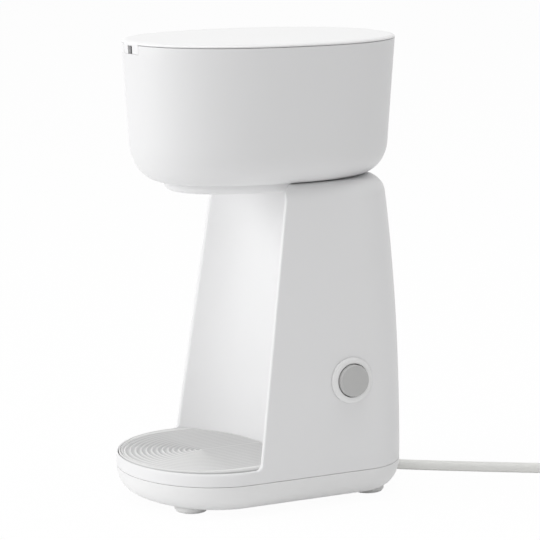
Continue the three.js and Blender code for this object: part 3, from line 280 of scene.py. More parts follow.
# New tree with named inputs and outputs
def newTree(name, kind, inputs, outputs):
    tree = bpy.data.node_groups.new(name, kind)
    for side, sockets in (("INPUT", inputs), ("OUTPUT", outputs)):
        for label, holds in sockets.items():
            tree.interface.new_socket(label, in_out=side, socket_type="NodeSocket" + holds)
    return tree, tree.nodes.new("NodeGroupInput"), tree.nodes.new("NodeGroupOutput")


def mathNode(tree, operation, *values, clamp=False):
    node = tree.nodes.new("ShaderNodeMath")
    node.operation = operation
    node.use_clamp = clamp
    for socket, value in zip(node.inputs, values):
        feed(tree, socket, value)
    return node.outputs[0]


def noiseNode(tree, vector, scale, detail, roughness):
    node = newNode(tree, "ShaderNodeTexNoise", Vector=vector, Scale=scale, Detail=detail, Roughness=roughness)
    return node.outputs["Fac"]


def mixColour(tree, factor, first, second):
    node = tree.nodes.new("ShaderNodeMix")
    node.data_type = "RGBA"
    for socket, value in (("Factor", factor), (6, first), (7, second)):
        feed(tree, node.inputs[socket], value)
    return node.outputs[2]


# Faint clouds and a fine grain, as on a moulded skin
moulding = dict(cloudDetail=3, cloudRoughness=0.55, grainDetail=2, grainRoughness=0.6, cells=0.6,
                contrast=1.6, offset=-0.3, speckle=0.3)


def makeMouldedGroup():
    m = moulding
    tree, given, out = newTree(
        "mouldedSurface", "ShaderNodeTree",
        {"Vector": "Vector", "Colour": "Color", "Shade": "Color", "Mottle scale": "Float",
         "Grain scale": "Float", "Roughness": "Float", "Spread": "Float"},
        {"Colour": "Color", "Roughness": "Float", "Height": "Float"})
    value = given.outputs
    cloud = noiseNode(tree, value["Vector"], value["Mottle scale"], m["cloudDetail"], m["cloudRoughness"])
    grain = noiseNode(tree, value["Vector"], value["Grain scale"], m["grainDetail"], m["grainRoughness"])
    cell = newNode(tree, "ShaderNodeTexVoronoi", Vector=value["Vector"], Scale=value["Grain scale"])
    height = mathNode(tree, "MULTIPLY_ADD", cell.outputs["Distance"], m["cells"], grain)
    share = mathNode(tree, "MULTIPLY_ADD", cloud, m["contrast"], m["offset"], clamp=True)
    speck = mathNode(tree, "MULTIPLY_ADD", grain, m["speckle"], -m["speckle"] / 2)
    share = mathNode(tree, "ADD", share, speck, clamp=True)
    colour = mixColour(tree, share, value["Shade"], value["Colour"])
    swing = mathNode(tree, "SUBTRACT", cloud, 0.5)
    rough = mathNode(tree, "MULTIPLY_ADD", swing, value["Spread"], value["Roughness"], clamp=True)
    for label, socket in (("Colour", colour), ("Roughness", rough), ("Height", height)):
        tree.links.new(socket, out.inputs[label])
    return tree


# Lighter edges where hands and cloths rub, in patches
edgeWear = dict(patchScale=160, patchDetail=3, patchRoughness=0.6, start=0.52, gain=14, lift=1.12)


def makeEdgeGroup():
    w = edgeWear
    tree, given, out = newTree(
        "edgeRub", "ShaderNodeTree",
        {"Pointiness": "Float", "Vector": "Vector", "Colour": "Color", "Rubbed": "Color", "Amount": "Float"},
        {"Colour": "Color"})
    value = given.outputs
    patch = noiseNode(tree, value["Vector"], w["patchScale"], w["patchDetail"], w["patchRoughness"])
    edge = mathNode(tree, "SUBTRACT", value["Pointiness"], w["start"])
    edge = mathNode(tree, "MULTIPLY", edge, w["gain"], clamp=True)
    share = mathNode(tree, "MULTIPLY", edge, patch)
    share = mathNode(tree, "MULTIPLY", share, value["Amount"], clamp=True)
    tree.links.new(mixColour(tree, share, value["Colour"], value["Rubbed"]), out.inputs["Colour"])
    return tree


mouldedSurface = makeMouldedGroup()
edgeRub = makeEdgeGroup()


def plain(colour, lift=1.0):
    return tuple(min(1.0, c * lift) for c in colour) + (1.0,)


def surface(name, colour, shade, roughness, swing, grain, grainHeight, mottle, metallic=0.0, ior=1.5,
            transmission=0.0, specular=0.5, rub=0.0, scatter=0.0):
    material = bpy.data.materials.new(name)
    material.use_nodes = True
    tree = material.node_tree
    where = tree.nodes.new("ShaderNodeTexCoord").outputs["Object"]
    skin = newNode(tree, "ShaderNodeGroup", mouldedSurface, Vector=where, Colour=plain(colour),
                   Shade=plain(colour, shade), Mottle_scale=mottle, Grain_scale=grain, Roughness=roughness,
                   Spread=swing)
    shown = skin.outputs["Colour"]
    if rub:
        geometry = tree.nodes.new("ShaderNodeNewGeometry")
        worn = newNode(tree, "ShaderNodeGroup", edgeRub, Pointiness=geometry.outputs["Pointiness"],
                       Vector=where, Colour=shown, Rubbed=plain(colour, edgeWear["lift"]), Amount=rub)
        shown = worn.outputs["Colour"]
    bump = newNode(tree, "ShaderNodeBump", Strength=1.0, Distance=grainHeight * mm,
                   Height=skin.outputs["Height"])
    settings = {"Base Color": shown, "Roughness": skin.outputs["Roughness"], "Normal": bump.outputs["Normal"],
                "Metallic": metallic, "IOR": ior, "Transmission Weight": transmission,
                "Specular IOR Level": specular, "Subsurface Weight": scatter}
    if scatter:
        settings.update({"Subsurface Radius": (1.0, 0.95, 0.9), "Subsurface Scale": 0.002})
    for label, value in settings.items():
        feed(tree, tree.nodes["Principled BSDF"].inputs[label], value)
    return material


# Painted shade: darkens a material's colour below a height, where the hollows of grooves lie in shade
def paintShadeBelow(material, top, depth, colour):
    tree = material.node_tree
    base = tree.nodes["Principled BSDF"].inputs["Base Color"]
    where = tree.nodes.new("ShaderNodeTexCoord")
    parts = newNode(tree, "ShaderNodeSeparateXYZ", Vector=where.outputs["Object"])
    under = mathNode(tree, "SUBTRACT", top * mm, parts.outputs["Z"])
    share = mathNode(tree, "DIVIDE", under, depth * mm, clamp=True)
    tree.links.new(mixColour(tree, share, base.links[0].from_socket, plain(colour)), base)


glossy = dict(swing=0.08, grain=1500, mottle=9, specular=0.42)
whitePlastic = surface("whitePlastic", (0.838, 0.838, 0.843), 0.975, 0.42, grainHeight=0.012, rub=0.25,
                       **glossy)
headPlastic = surface("headPlastic", (0.805, 0.805, 0.81), 0.975, 0.42, grainHeight=0.012, rub=0.25, **glossy)
coverPlastic = surface("coverPlastic", (0.85, 0.85, 0.85), 0.975, 0.45, grainHeight=0.012, rub=0.2, **glossy)
lidPlastic = surface("lidPlastic", (0.86, 0.86, 0.86), 0.98, 0.40, grainHeight=0.010, rub=0.25, **glossy)
trayPlastic = surface("trayPlastic", (0.785, 0.785, 0.78), 0.94, 0.46, 0.1, 1300, 0.014, 18, rub=0.2)
buttonPlastic = surface("buttonPlastic", (0.53, 0.53, 0.525), 0.95, 0.48, 0.06, 2000, 0.012, 40, rub=0.8)
innerPlastic = surface("innerPlastic", (0.76, 0.76, 0.74), 0.96, 0.38, 0.08, 1500, 0.012, 12)
clearPlastic = surface("clearPlastic", (0.86, 0.88, 0.88), 0.97, 0.22, 0.06, 1200, 0.006, 20, ior=1.46,
                       transmission=0.35)
darkPlastic = surface("darkPlastic", (0.055, 0.055, 0.06), 0.75, 0.5, 0.12, 1500, 0.02, 24, rub=0.5)
footRubber = surface("footRubber", (0.92, 0.92, 0.915), 0.9, 0.75, 0.1, 1700, 0.03, 60, specular=0.3)
siliconeRubber = surface("siliconeRubber", (0.72, 0.70, 0.64), 0.93, 0.5, 0.1, 900, 0.01, 40, scatter=0.15)
plainSteel = surface("plainSteel", (0.60, 0.60, 0.61), 0.8, 0.28, 0.16, 2600, 0.008, 120, metallic=1.0)
castAlloy = surface("castAlloy", (0.66, 0.67, 0.68), 0.8, 0.42, 0.16, 900, 0.03, 90, metallic=1.0)
yellowBrass = surface("yellowBrass", (0.68, 0.52, 0.24), 0.85, 0.3, 0.14, 2600, 0.008, 120, metallic=1.0)
cordSheath = surface("cordSheath", (0.87, 0.87, 0.845), 0.95, 0.5, 0.08, 1700, 0.012, 60, specular=0.4)
wireDark = surface("wireDark", (0.09, 0.08, 0.08), 0.8, 0.45, 0.1, 1500, 0.01, 80)
wireLight = surface("wireLight", (0.60, 0.61, 0.63), 0.93, 0.45, 0.1, 1500, 0.01, 80)
print("materials are made")


# Mains cord: the route on the table and the coil of its unseen length, one unbroken tube
cord = dict(radius=3.25, exit=(-5.6, 74.3, 10.7), route=[
    (-5.6, 74.3, 10.7), (-5.6, 80.5, 10.1), (-5.6, 87, 8), (-5.1, 93.2, 5.7), (-2.9, 99.4, 4),
    (1.3, 105.6, 3.3), (14.2, 123.9, 3.25), (27.6, 144.3, 3.25), (41, 165, 3.25), (54.2, 185.7, 3.3),
    (64, 200.9, 4), (71.2, 212, 4.45), (73.51, 215.58, 4.45)], samplesPerSpan=5)
coil = dict(radius=41.5, pitch=7, layer=7, turns=3, climb=0.5, steps=30, lift=4.45, stretch=6.5, tail=17,
            tailSteps=4, gap=0.3)


def coilLine():
    start = Vector(cord["route"][-1])
    heading = start - Vector(cord["route"][-2])
    heading.z = 0
    heading.normalize()
    entry = start + heading * (coil["stretch"] + coil["gap"])
    middle = entry + Vector((-heading.y, heading.x, 0)) * coil["radius"]
    begin = math.atan2(entry.y - middle.y, entry.x - middle.x)
    line = []
    count = coil["turns"] * coil["steps"]
    for i in range(count + 1):
        turns = coil["turns"] * i / count
        angle = begin + 2 * math.pi * turns
        radius = coil["radius"] - coil["pitch"] * min(turns, coil["turns"] - turns)
        low = coil["turns"] / 2 - coil["climb"] / 2
        share = min(1, max(0, (turns - low) / coil["climb"]))
        z = coil["lift"] + coil["layer"] * eased(share)
        line.append(Vector((middle.x + radius * math.cos(angle), middle.y + radius * math.sin(angle), z)))
    line.append(line[-1] + heading * coil["tail"])
    return line, heading, middle


coilPoints, coilHeading, coilMiddle = coilLine()


# Centripetal spline through the route's points, as the CAD's tube follows it
def splineThrough(route, samples):
    points = [Vector(p) for p in route]
    ends = [points[0] * 2 - points[1]] + points + [points[-1] * 2 - points[-2]]
    line = []
    for i in range(len(points) - 1):
        p0, p1, p2, p3 = ends[i:i + 4]
        t1 = math.sqrt((p1 - p0).length)
        t2 = t1 + math.sqrt((p2 - p1).length)
        t3 = t2 + math.sqrt((p3 - p2).length)
        for k in range(samples):
            t = mix(t1, t2, k / samples)
            a1 = p0 * ((t1 - t) / t1) + p1 * (t / t1)
            a2 = p1 * ((t2 - t) / (t2 - t1)) + p2 * ((t - t1) / (t2 - t1))
            a3 = p2 * ((t3 - t) / (t3 - t2)) + p3 * ((t - t2) / (t3 - t2))
            b1 = a1 * ((t2 - t) / t2) + a2 * (t / t2)
            b2 = a2 * ((t3 - t) / (t3 - t1)) + a3 * ((t - t1) / (t3 - t1))
            line.append(b1 * ((t2 - t) / (t2 - t1)) + b2 * ((t - t1) / (t2 - t1)))
    line.append(points[-1])
    return line


def frameRing(line, i):
    before, after = line[max(0, i - 1)], line[min(len(line) - 1, i + 1)]
    ahead = (after - before).normalized()
    aside = Vector((ahead.y, -ahead.x, 0))
    aside = aside.normalized() if aside.length > 0.001 else Vector((1, 0, 0))
    return ahead, aside, aside.cross(ahead)


def tube(name, line, radiusAt, sides=24):
    rings = []
    turns = [2 * math.pi * k / sides for k in range(sides)]
    for i, point in enumerate(line):
        ahead, aside, above = frameRing(line, i)
        radius = radiusAt(i / (len(line) - 1))
        rings.append([tuple(point + aside * radius * math.cos(t) + above * radius * math.sin(t))
                      for t in turns])
    return loft(name, rings)


def lengthOf(line):
    return sum((b - a).length for a, b in zip(line, line[1:]))


cordLine = splineThrough(cord["route"], cord["samplesPerSpan"]) + coilPoints[:-1]
cordLine += [coilPoints[-2].lerp(coilPoints[-1], t) for t in spread(0, 1, coil["tailSteps"])[1:]]
cordLine = [Vector((p.x, p.y, max(p.z, cord["radius"]))) for p in cordLine]
mainsCord = tube("mains_cord", cordLine, lambda t: cord["radius"])
fit(mainsCord, "machine", cordSheath, ["power_cord", "cord_coil"])
print("cord length in metres:", round(lengthOf(cordLine) * mm, 4))


# Strain relief: ribbed cone whose wide end grips the base
relief = dict(start=37.5, wall=44, roof=2, end=74, root=4.6, tip=3.9, grip=3.6, ribs=6, ribDepth=0.55,
              ribFrom=0.1, ribTo=0.94, steps=96, gap=0.3, x=-5.6, z=10.7)


def makeRelief():
    r = relief
    seat, start = r["wall"] - r["gap"], r["wall"] + r["roof"] + r["gap"]
    profile = [(0, r["start"]), (r["root"] - 0.4, r["start"]), (r["root"], r["start"] + 0.4),
               (r["root"], seat), (r["grip"], seat), (r["grip"], start)]
    for t in spread(0, 1, r["steps"]):
        wave = max(0, math.sin(2 * math.pi * (r["ribs"] * t - 0.25))) if r["ribFrom"] < t < r["ribTo"] else 0
        radius = mix(r["root"], r["tip"], t) - r["ribDepth"] * wave ** 0.6
        profile.append((radius, mix(start, r["end"] - 0.3, t)))
    profile += [(r["tip"] - 0.3, r["end"]), (0, r["end"])]
    item = turned("strain_relief_sleeve", profile, 48)
    turnAndMove(item, Matrix.Rotation(-math.pi / 2, 4, "X"), (r["x"], 0, r["z"]))
    fit(item, "machine", cordSheath, ["strain_relief"])


# Turns a piece made about the machine's middle and moves it to its place, in its mesh
def turnAndMove(item, turn, move):
    back = Matrix.Translation(place((0, 0, 0))).inverted()
    item.data.transform(Matrix.Translation(place(move)) @ turn @ back)
    item.data.update()


makeRelief()

# Plug: round body lying on its back, ribbed grip, tapered neck and two pins
plug = dict(radius=18.5, height=24, round=3, base=0.2, neckLength=26, neckRoot=6.5, neckTip=4.3, neckRibs=5,
            neckRibDepth=0.5, neckSteps=60, neckRibFrom=0.06, neckRibTo=0.72, gap=0.3, pinRadius=2.4,
            pinLength=19, pinPitch=19, sleeve=10, grooves=4, grooveStart=6, groovePitch=3.2, grooveDepth=0.7)


def makePlug():
    p = plug
    radius, top = p["radius"], p["base"] + p["height"]
    end = coilPoints[-1]
    middle = end + coilHeading * (p["gap"] + p["neckLength"] + radius - p["round"])
    profile = roundedProfile([(0, p["base"], 0), (radius, p["base"], p["round"]), (radius, top, p["round"]),
                              (0, top, 0)])
    split = next(i for i, (r, z) in enumerate(profile) if z > p["base"] + p["height"] / 2)
    grip = []
    for i in range(p["grooves"]):
        z = p["base"] + p["grooveStart"] + i * p["groovePitch"]
        for depth, rise in ((0, 0), (0.8, 0.25), (1, 0.6), (0.8, 0.95), (0, 1.2)):
            grip.append((radius - p["grooveDepth"] * depth, z + rise))
    body = turned("plug_housing", profile[:split] + grip + profile[split:], 96, (middle.x, middle.y))
    line = [end + coilHeading * mix(p["gap"], p["gap"] + p["neckLength"], t)
            for t in spread(0, 1, p["neckSteps"])]

    def neckRadius(t):
        ribbed = p["neckRibFrom"] < t < p["neckRibTo"]
        wave = max(0, math.sin(2 * math.pi * (p["neckRibs"] * t + 0.1))) if ribbed else 0
        return mix(p["neckTip"], p["neckRoot"], t) - p["neckRibDepth"] * wave

    combine(body, [tube("plug_neck", line, neckRadius, 48)], "UNION")
    fit(body, "machine", cordSheath, ["plug_body"])
    low = top + p["gap"]
    high = low + p["pinLength"]
    shape = [(0, low)]
    for inset, z in ((0, low), (0, low + p["sleeve"]), (0.15, low + p["sleeve"] + 0.2), (0.15, high - 1.4),
                     (0.5, high - 0.5), (1.3, high)):
        shape.append((p["pinRadius"] - inset, z))
    shape.append((0, high))
    pins = []
    for side, label in ((-1, "left"), (1, "right")):
        aside = Vector((-coilHeading.y, coilHeading.x, 0)) * side * p["pinPitch"] / 2
        pin = turned("plug_pin_" + label + "_round", shape, 32, (middle.x + aside.x, middle.y + aside.y))
        pins.append(fit(pin, "machine", plainSteel, ["plug_pin_" + label]))
    return body, pins


plugPiece, plugPins = makePlug()

tie = dict(thick=0.8, width=7, angle=2.2, room=0.35, round=2.2, edge=0.25)


# Where the cord runs through the tie, as distances from the coil's middle and heights
def cordsInTie():
    outwards = Vector((math.cos(tie["angle"]), math.sin(tie["angle"]), 0))
    across = Vector((-outwards.y, outwards.x, 0))
    line = [Vector(p) - Vector((coilMiddle.x, coilMiddle.y, 0)) for p in cordLine]
    found = []
    for a, b in zip(line, line[1:]):
        before, after = a.dot(across), b.dot(across)
        if before * after <= 0 and before != after and 0 < a.dot(outwards) < coil["radius"] + cord["radius"]:
            spot = a.lerp(b, before / (before - after))
            found.append((spot.dot(outwards), spot.z))
    return found


# Tie: a strap bent round the coil's cords
def makeTie():
    room = cord["radius"] + tie["room"]
    thick, edge, half, corner = tie["thick"], tie["edge"], tie["width"] / 2, tie["round"]
    spots = cordsInTie()
    inward, outward = min(x for x, z in spots) - room, max(x for x, z in spots) + room
    low, high = min(z for x, z in spots) - room, max(z for x, z in spots) + room
    outer = roundedBox(inward - thick, outward + thick, low - thick, high + thick, corner, corner, 6)
    inner = roundedBox(inward, outward, low, high, corner - thick, corner - thick, 6)
    middle = [((a[0] + b[0]) / 2, (a[1] + b[1]) / 2) for a, b in zip(outer, inner)]
    section = [(inner, -half + edge), (inner, half - edge), (middle, half), (outer, half - edge),
               (outer, -half + edge), (middle, -half), (inner, -half + edge)]
    band = skinned("cord_strap", [[(x, y, z) for x, z in line] for line, y in section])
    turnAndMove(band, Matrix.Rotation(tie["angle"], 4, "Z"), (coilMiddle.x, coilMiddle.y, 0))
    return fit(band, "machine", darkPlastic, ["cord_tie"])


tiePiece = makeTie()
round(lengthOf(cordLine) * mm, 3)
[tuple(place(p)) for p in cordLine]
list(plugPins)
print("cord, relief, tie and plug are made")

# Housing: column with its wings and cup wall, and the tray's surround, in one skin
housing = dict(parting=21.2, widest=20.6, recessFloor=25.8, rim=29.2, foot=30.3, top=200.4, halfWidth=61,
               topHalfWidth=51.2, cupY=-34.25, frontReach=56.3, backReach=42, topBackReach=38, backY=91.55,
               topBackY=80.65, leanPower=2.2, edgeWidth=16.5, edgeHeight=17.7, noseShare=0.36, tailShare=0.31,
               noseBulge=14, rimRound=3.8, rimFade=20, traySlip=0.35, topRound=10, wall=2.4, roof=3,
               wingSetback=6.7, topWingSetback=29.2, wingTip=3.1, topWingTip=3, fillet=4, edge=1.3,
               wallDepth=30.6, topWallDepth=21.7, trayReach=55.4, slip=0.45, frontSteps=128, backSteps=128,
               sideSteps=26, wallSteps=80, innerWallSteps=48, lipSteps=8, filletSteps=10, levelSteps=26,
               innerSteps=24, roundSteps=14, bend=3, bendSteps=8, seam=0.14,
               shoulder=[22.3, 23.4, 24.5, 25.6, 26.7])
h = housing
cupY = h["cupY"]


def climbed(z):
    return max(0, (z - h["foot"]) / (h["top"] - h["foot"]))


def sideX(z):
    return mix(h["halfWidth"], h["topHalfWidth"], climbed(z))


def backY(z):
    return mix(h["backY"], h["topBackY"], climbed(z) ** h["leanPower"])


def backReach(z):
    return mix(h["backReach"], h["topBackReach"], climbed(z))


def wingY(z):
    return cupY + mix(h["wingSetback"], h["topWingSetback"], climbed(z))


def spaceX(z):
    return sideX(z) - mix(h["wingTip"], h["topWingTip"], climbed(z))


def lowerInset(z):
    return drawn(h["edgeWidth"], max(0, h["widest"] - z) / h["edgeHeight"])


def topInset(z):
    return drawn(h["topRound"], max(0, z - h["top"] + h["topRound"]) / h["topRound"])


# Cup wall: arc between the wings, as its radius and the middle of its circle
def cupArc(z, grow=0.0):
    edge = spaceX(z)
    depth = mix(h["wallDepth"], h["topWallDepth"], climbed(z))
    radius = (edge * edge + depth * depth) / (2 * depth)
    return radius + grow, wingY(z) + depth - radius


def arcY(x, z, grow=0.0):
    radius, middle = cupArc(z, grow)
    return middle + math.sqrt(max(0, radius * radius - x * x))


def arcX(y, z):
    radius, middle = cupArc(z)
    return math.sqrt(max(0, radius * radius - (y - middle) ** 2))


# Cup wall's arc at a height, out to a distance from the middle on both sides
def arcLine(z, reach, steps, grow=0.0):
    radius, middle = cupArc(z, grow)
    limit = math.asin(min(1, reach / radius))
    return [(radius * math.sin(t), middle + radius * math.cos(t), z) for t in spread(limit, -limit, steps)]


# Back part of the outline, from the right wing round the back to the left wing
def backLine(z, inset, startY):
    side = sideX(z) - inset
    reach = backReach(z)
    bend = backY(z) - reach
    tail = reach - inset + h["tailShare"] * lowerInset(z)
    line = [(side, y, z) for y in spread(startY, bend, h["sideSteps"])[:-1]]
    line += [(side * math.cos(t), bend + tail * math.sin(t), z) for t in spread(0, math.pi, h["backSteps"])]
    return line + [(-side, y, z) for y in spread(bend, startY, h["sideSteps"])[1:]]


# Line round the tray, from the right wing's foot to the left one
def trayLine(z, side, nose, footY):
    line = [(side, y, z) for y in spread(footY, cupY, 4)[:-1]]
    line += [(side * math.cos(t), cupY - nose * math.sin(t), z) for t in spread(0, math.pi, h["frontSteps"])]
    return line + [(-side, y, z) for y in spread(cupY, footY, 4)[1:]]


# Front part of the outline
def frontLine(z, inset, footY):
    low = max(0, h["widest"] - z) / h["edgeHeight"]
    nose = h["frontReach"] - inset - h["noseShare"] * lowerInset(z) + h["noseBulge"] * low ** 3 * (1 - low)
    return trayLine(z, sideX(z) - inset, nose, footY)


# Rounded edge between an outer and an inner point, round two corners
def lipCurve(outer, cornerOut, cornerIn, inner):
    outer, cornerOut, cornerIn, inner = (Vector(p) for p in (outer, cornerOut, cornerIn, inner))
    middle = (cornerOut + cornerIn) / 2
    first = cornerCurve(outer, cornerOut, middle, h["lipSteps"])
    return first[:-1] + cornerCurve(middle, cornerIn, inner, h["lipSteps"])


def makeHousing():
    points, faces = [], []
    edge, r = h["edge"], h["fillet"]
    slope = (h["topWingSetback"] - h["wingSetback"]) / (h["top"] - h["foot"])
    steep = math.atan2(1, slope)
    centreZ = h["rim"] + r
    centreY = wingY(centreZ - r * math.cos(steep)) - r * math.sin(steep)
    turns = spread(0, steep, h["filletSteps"])
    roundStart = h["top"] - h["topRound"]
    high = spread(centreZ + 0.6, roundStart, h["levelSteps"])
    high += [h["top"] - h["topRound"] * s for s, c in quarter(h["roundSteps"])[1:]]

    def wingPoints(z):
        side = sideX(z) - topInset(z)
        inner = min(spaceX(z), side - 0.5)
        front = wingY(z) if inner == spaceX(z) else arcY(inner, z)
        back = front + edge
        return (side, back, z), (side, front, z), (inner, front, z), (arcX(back, z), back, z)

    def filletPoints(turn):
        far = r + edge
        z = centreZ - r * math.cos(turn)
        farZ = centreZ - far * math.cos(turn)
        y, farY = centreY + r * math.sin(turn), centreY + far * math.sin(turn)
        inner = spaceX(z)
        innerFar = spaceX(farZ) if farY < wingY(farZ) else arcX(farY, farZ)
        return (sideX(farZ), farY, farZ), (sideX(z), y, z), (inner, y, z), (innerFar, farY, farZ)

    wing = [filletPoints(turn) for turn in turns] + [wingPoints(z) for z in high]
    low = [h["parting"], h["parting"] + h["seam"], *h["shoulder"], h["rim"] - edge]
    lowInset = lambda z: lowerInset(z) + drawn(h["seam"], max(0, h["parting"] + h["seam"] - z) / h["seam"])

    # Outer skin behind the wings, and round the tray
    rows = [backLine(z, lowInset(z), centreY) for z in low[:-1]]
    rows += [backLine(p[0][2], topInset(p[0][2]), p[0][1]) for p in wing]
    addSkin(points, faces, rows)
    count = len(frontLine(low[0], 0, centreY))
    fades = [eased(min(1, min(i, count - 1 - i) / h["rimFade"])) for i in range(count)]
    tops = [h["rim"] - mix(edge, h["rimRound"], fade) for fade in fades]

    # Point of the front outline, at a share of the height up to the rim's rounded edge
    def frontPoint(i, share):
        z = mix(low[1], tops[i], share)
        return frontLine(z, lowInset(z), centreY)[i]

    front = [frontLine(low[0], lowInset(low[0]), centreY)]
    for z in low[1:]:
        front.append([frontPoint(i, (z - low[1]) / (low[-1] - low[1])) for i in range(count)])
    addSkin(points, faces, front)

    # Rounded edge up one wing, round the tray and up the other
    recess = trayLine(h["rim"], spaceX(h["rim"]), h["trayReach"] + h["traySlip"], centreY)
    mirror = lambda p: (-p[0], p[1], p[2])
    band = [lipCurve(*p) for p in reversed(wing)][:-1]
    for outer, inner in zip(front[-1], recess):
        depth = min(edge, math.hypot(outer[0] - inner[0], outer[1] - inner[1]))
        band.append(lipCurve(outer, (*outer[:2], h["rim"]), (*inner[:2], h["rim"]),
                             (*inner[:2], h["rim"] - depth)))
    rimLows = [row[-1] for row in band[len(wing) - 1:len(wing) - 1 + len(recess)]]
    band += [lipCurve(*(mirror(p) for p in four)) for four in wing[1:]]
    addSkin(points, faces, band)

    # Recess for the tray and the cup wall
    floor = [(x, y, h["recessFloor"]) for x, y, z in rimLows]
    addSkin(points, faces, [rimLows, floor])

    def wallLine(y, z):
        turnY = max(y, wingY(z)) + h["bend"]
        line = []
        for step in spread(y, turnY, h["bendSteps"])[:-1]:
            line.append((spaceX(z) if step < wingY(z) else arcX(step, z), step, z))
        return line + arcLine(z, arcX(turnY, z), h["wallSteps"]) + [mirror(p) for p in reversed(line)]

    walls = [wallLine(centreY, h["recessFloor"])] + [wallLine(*four[3][1:]) for four in wing]
    addSkin(points, faces, walls)
    addCap(points, faces, floor + walls[0][::-1][1:-1])

    # Roof
    tip = lipCurve(*wing[-1])
    roof = rows[-1] + [mirror(p) for p in tip][1:] + walls[-1][::-1][1:] + tip[::-1][1:-1]
    addCap(points, faces, roof)

    # Inside, one wall further in
    wall = h["wall"]
    ceiling = h["top"] - h["roof"]
    shelf = h["recessFloor"] - wall
    innerTop = lambda z: wall + drawn(h["topRound"], max(0, z - ceiling + h["topRound"]) / h["topRound"] / 2)
    innerSide = lambda z: sideX(z) - innerTop(z)
    heights = spread(shelf, ceiling, h["innerSteps"])
    startY = arcY(sideX(shelf) - wall, shelf, wall)
    inside = [backLine(h["parting"], wall, startY)]
    inside += [backLine(z, innerTop(z), arcY(innerSide(z), z, wall)) for z in heights]
    addSkin(points, faces, inside)
    insideFront = [frontLine(z, wall, startY) for z in (h["parting"], shelf)]
    addSkin(points, faces, insideFront)
    arcs = [arcLine(z, innerSide(z), h["innerWallSteps"], wall) for z in heights]
    addSkin(points, faces, arcs)
    addCap(points, faces, insideFront[1] + arcs[0][::-1][1:-1])
    addCap(points, faces, inside[-1] + arcs[-1][::-1][1:-1])

    # Lower edge between the outer skin and the inside
    outerLoop = rows[0] + front[0][::-1][1:-1]
    innerLoop = inside[0] + insideFront[0][::-1][1:-1]
    addSkin(points, faces, [outerLoop, innerLoop], closed=True)
    return meshObject("housing_shell", points, faces, panelAngle)


housingPiece = makeHousing()
print("housing:", len(housingPiece.data.polygons), "faces")


# Button group: laid out along its own axis, outwards from the housing's side
button = dict(y=36.05, z=78.5, bezelRadius=14.25, capRadius=9.95, bore=10.5, proud=2.3, sleeve=12,
              sleeveDepth=6, capProud=4.6, capDepth=8, capRound=1.0, dish=0.22, stem=2, springRadius=4.4,
              holeReach=6, gap=0.3, roundSteps=8, dishSteps=16)
buttonLean = math.atan2(h["halfWidth"] - h["topHalfWidth"], h["top"] - h["foot"])
buttonMiddle = Vector((sideX(button["z"]), button["y"], button["z"]))
buttonAxis = Vector((math.cos(buttonLean), 0, math.sin(buttonLean)))


def onButtonAxis(item):
    turnAndMove(item, Matrix.Rotation(math.pi / 2 - buttonLean, 4, "Y"), buttonMiddle)


hose = dict(outer=6.2, slip=0.45, riser=(0, 30), feed=(20, 54), roofCut=(190, 206), tubCut=(196, 208))
cupSpot = (0, cupY)
holeRadius = hose["outer"] + hose["slip"]
combine(housingPiece, [
    barCutter("buttonHole", button["sleeve"] + button["gap"], buttonMiddle - buttonAxis * button["holeReach"],
              buttonMiddle + buttonAxis * button["holeReach"], 96),
    uprightBar("riserHole", holeRadius, hose["riser"], *hose["roofCut"]),
    uprightBar("feedHole", holeRadius, hose["feed"], *hose["roofCut"]),
], sharp=panelAngle)
fit(housingPiece, "machine", whitePlastic, ["main_housing"])


def makeBezel():
    b = button
    shape = roundedProfile([(b["bore"], -b["sleeveDepth"], 0.3), (b["sleeve"], -b["sleeveDepth"], 0.4),
                            (b["sleeve"], b["gap"], 0), (b["bezelRadius"], b["gap"], 0.15),
                            (b["bezelRadius"], 1.0, 0.5), (b["sleeve"] + 0.3, b["proud"], 1.4),
                            (b["bore"], b["proud"], 0.35)], 6)
    item = turned("button_ring", shape + [shape[0]], 128)
    onButtonAxis(item)
    return fit(item, "machine", coverPlastic, ["button_bezel"])


def makeCap():
    b = button
    radius, front = b["capRadius"], b["capProud"]
    back = front - b["capDepth"]
    low = back - b["springRadius"]
    dish = radius - b["capRound"]
    shape = [(0, low), (b["stem"] - 0.3, low), (b["stem"], low + 0.3), (b["stem"], back),
             (radius - 0.3, back), (radius, back + 0.3)]
    shape += [(radius - b["capRound"] * c, front - b["capRound"] * s) for s, c in quarter(b["roundSteps"])]
    shape += [(dish * s, front - b["dish"] * (1 - s * s) ** 0.6) for s in spread(0.97, 0, b["dishSteps"])]
    item = turned("button_face", shape, 128)
    onButtonAxis(item)
    return fit(item, "button", buttonPlastic, ["button_cap"])


makeBezel()
makeCap()
print("button is made")

# Head: tapered oval tub with a rounded lower edge and a notch for the lid's lip
head = dict(bottom=200.8, rim=285.3, halfWidth=60.6, frontReach=88.2, backReach=80.6, straight=6.2,
            centreY=6.1, power=2.15, draft=0.062, cornerWidth=16, cornerHeight=19, frontCornerHeight=23,
            wall=2.4, rimRound=0.45, steps=256, cornerSteps=24, wallSteps=8, rimSteps=4)


def ovalRing(shape, z, inset, steps=head["steps"], backInset=None):
    ring = []
    bow = lambda value: math.copysign(abs(value) ** (2 / shape["power"]), value)
    for i in range(steps):
        turn = 2 * math.pi * (i + 0.5) / steps
        reach = shape["frontReach"] if math.sin(turn) < 0 else shape["backReach"]
        shift = math.copysign(head["straight"] / 2, math.sin(turn))
        drawnIn = mix(inset, inset if backInset is None else backInset, 0.5 + 0.5 * math.sin(turn))
        ring.append(((shape["halfWidth"] - drawnIn) * bow(math.cos(turn)),
                     head["centreY"] + shift + (reach - drawnIn) * bow(math.sin(turn)), z))
    return ring


def headInset(z, offset, height):
    share = max(0, head["bottom"] + height - z) / (height - offset)
    return offset + head["draft"] * (head["rim"] - z) + drawn(head["cornerWidth"] - offset, min(1, share))


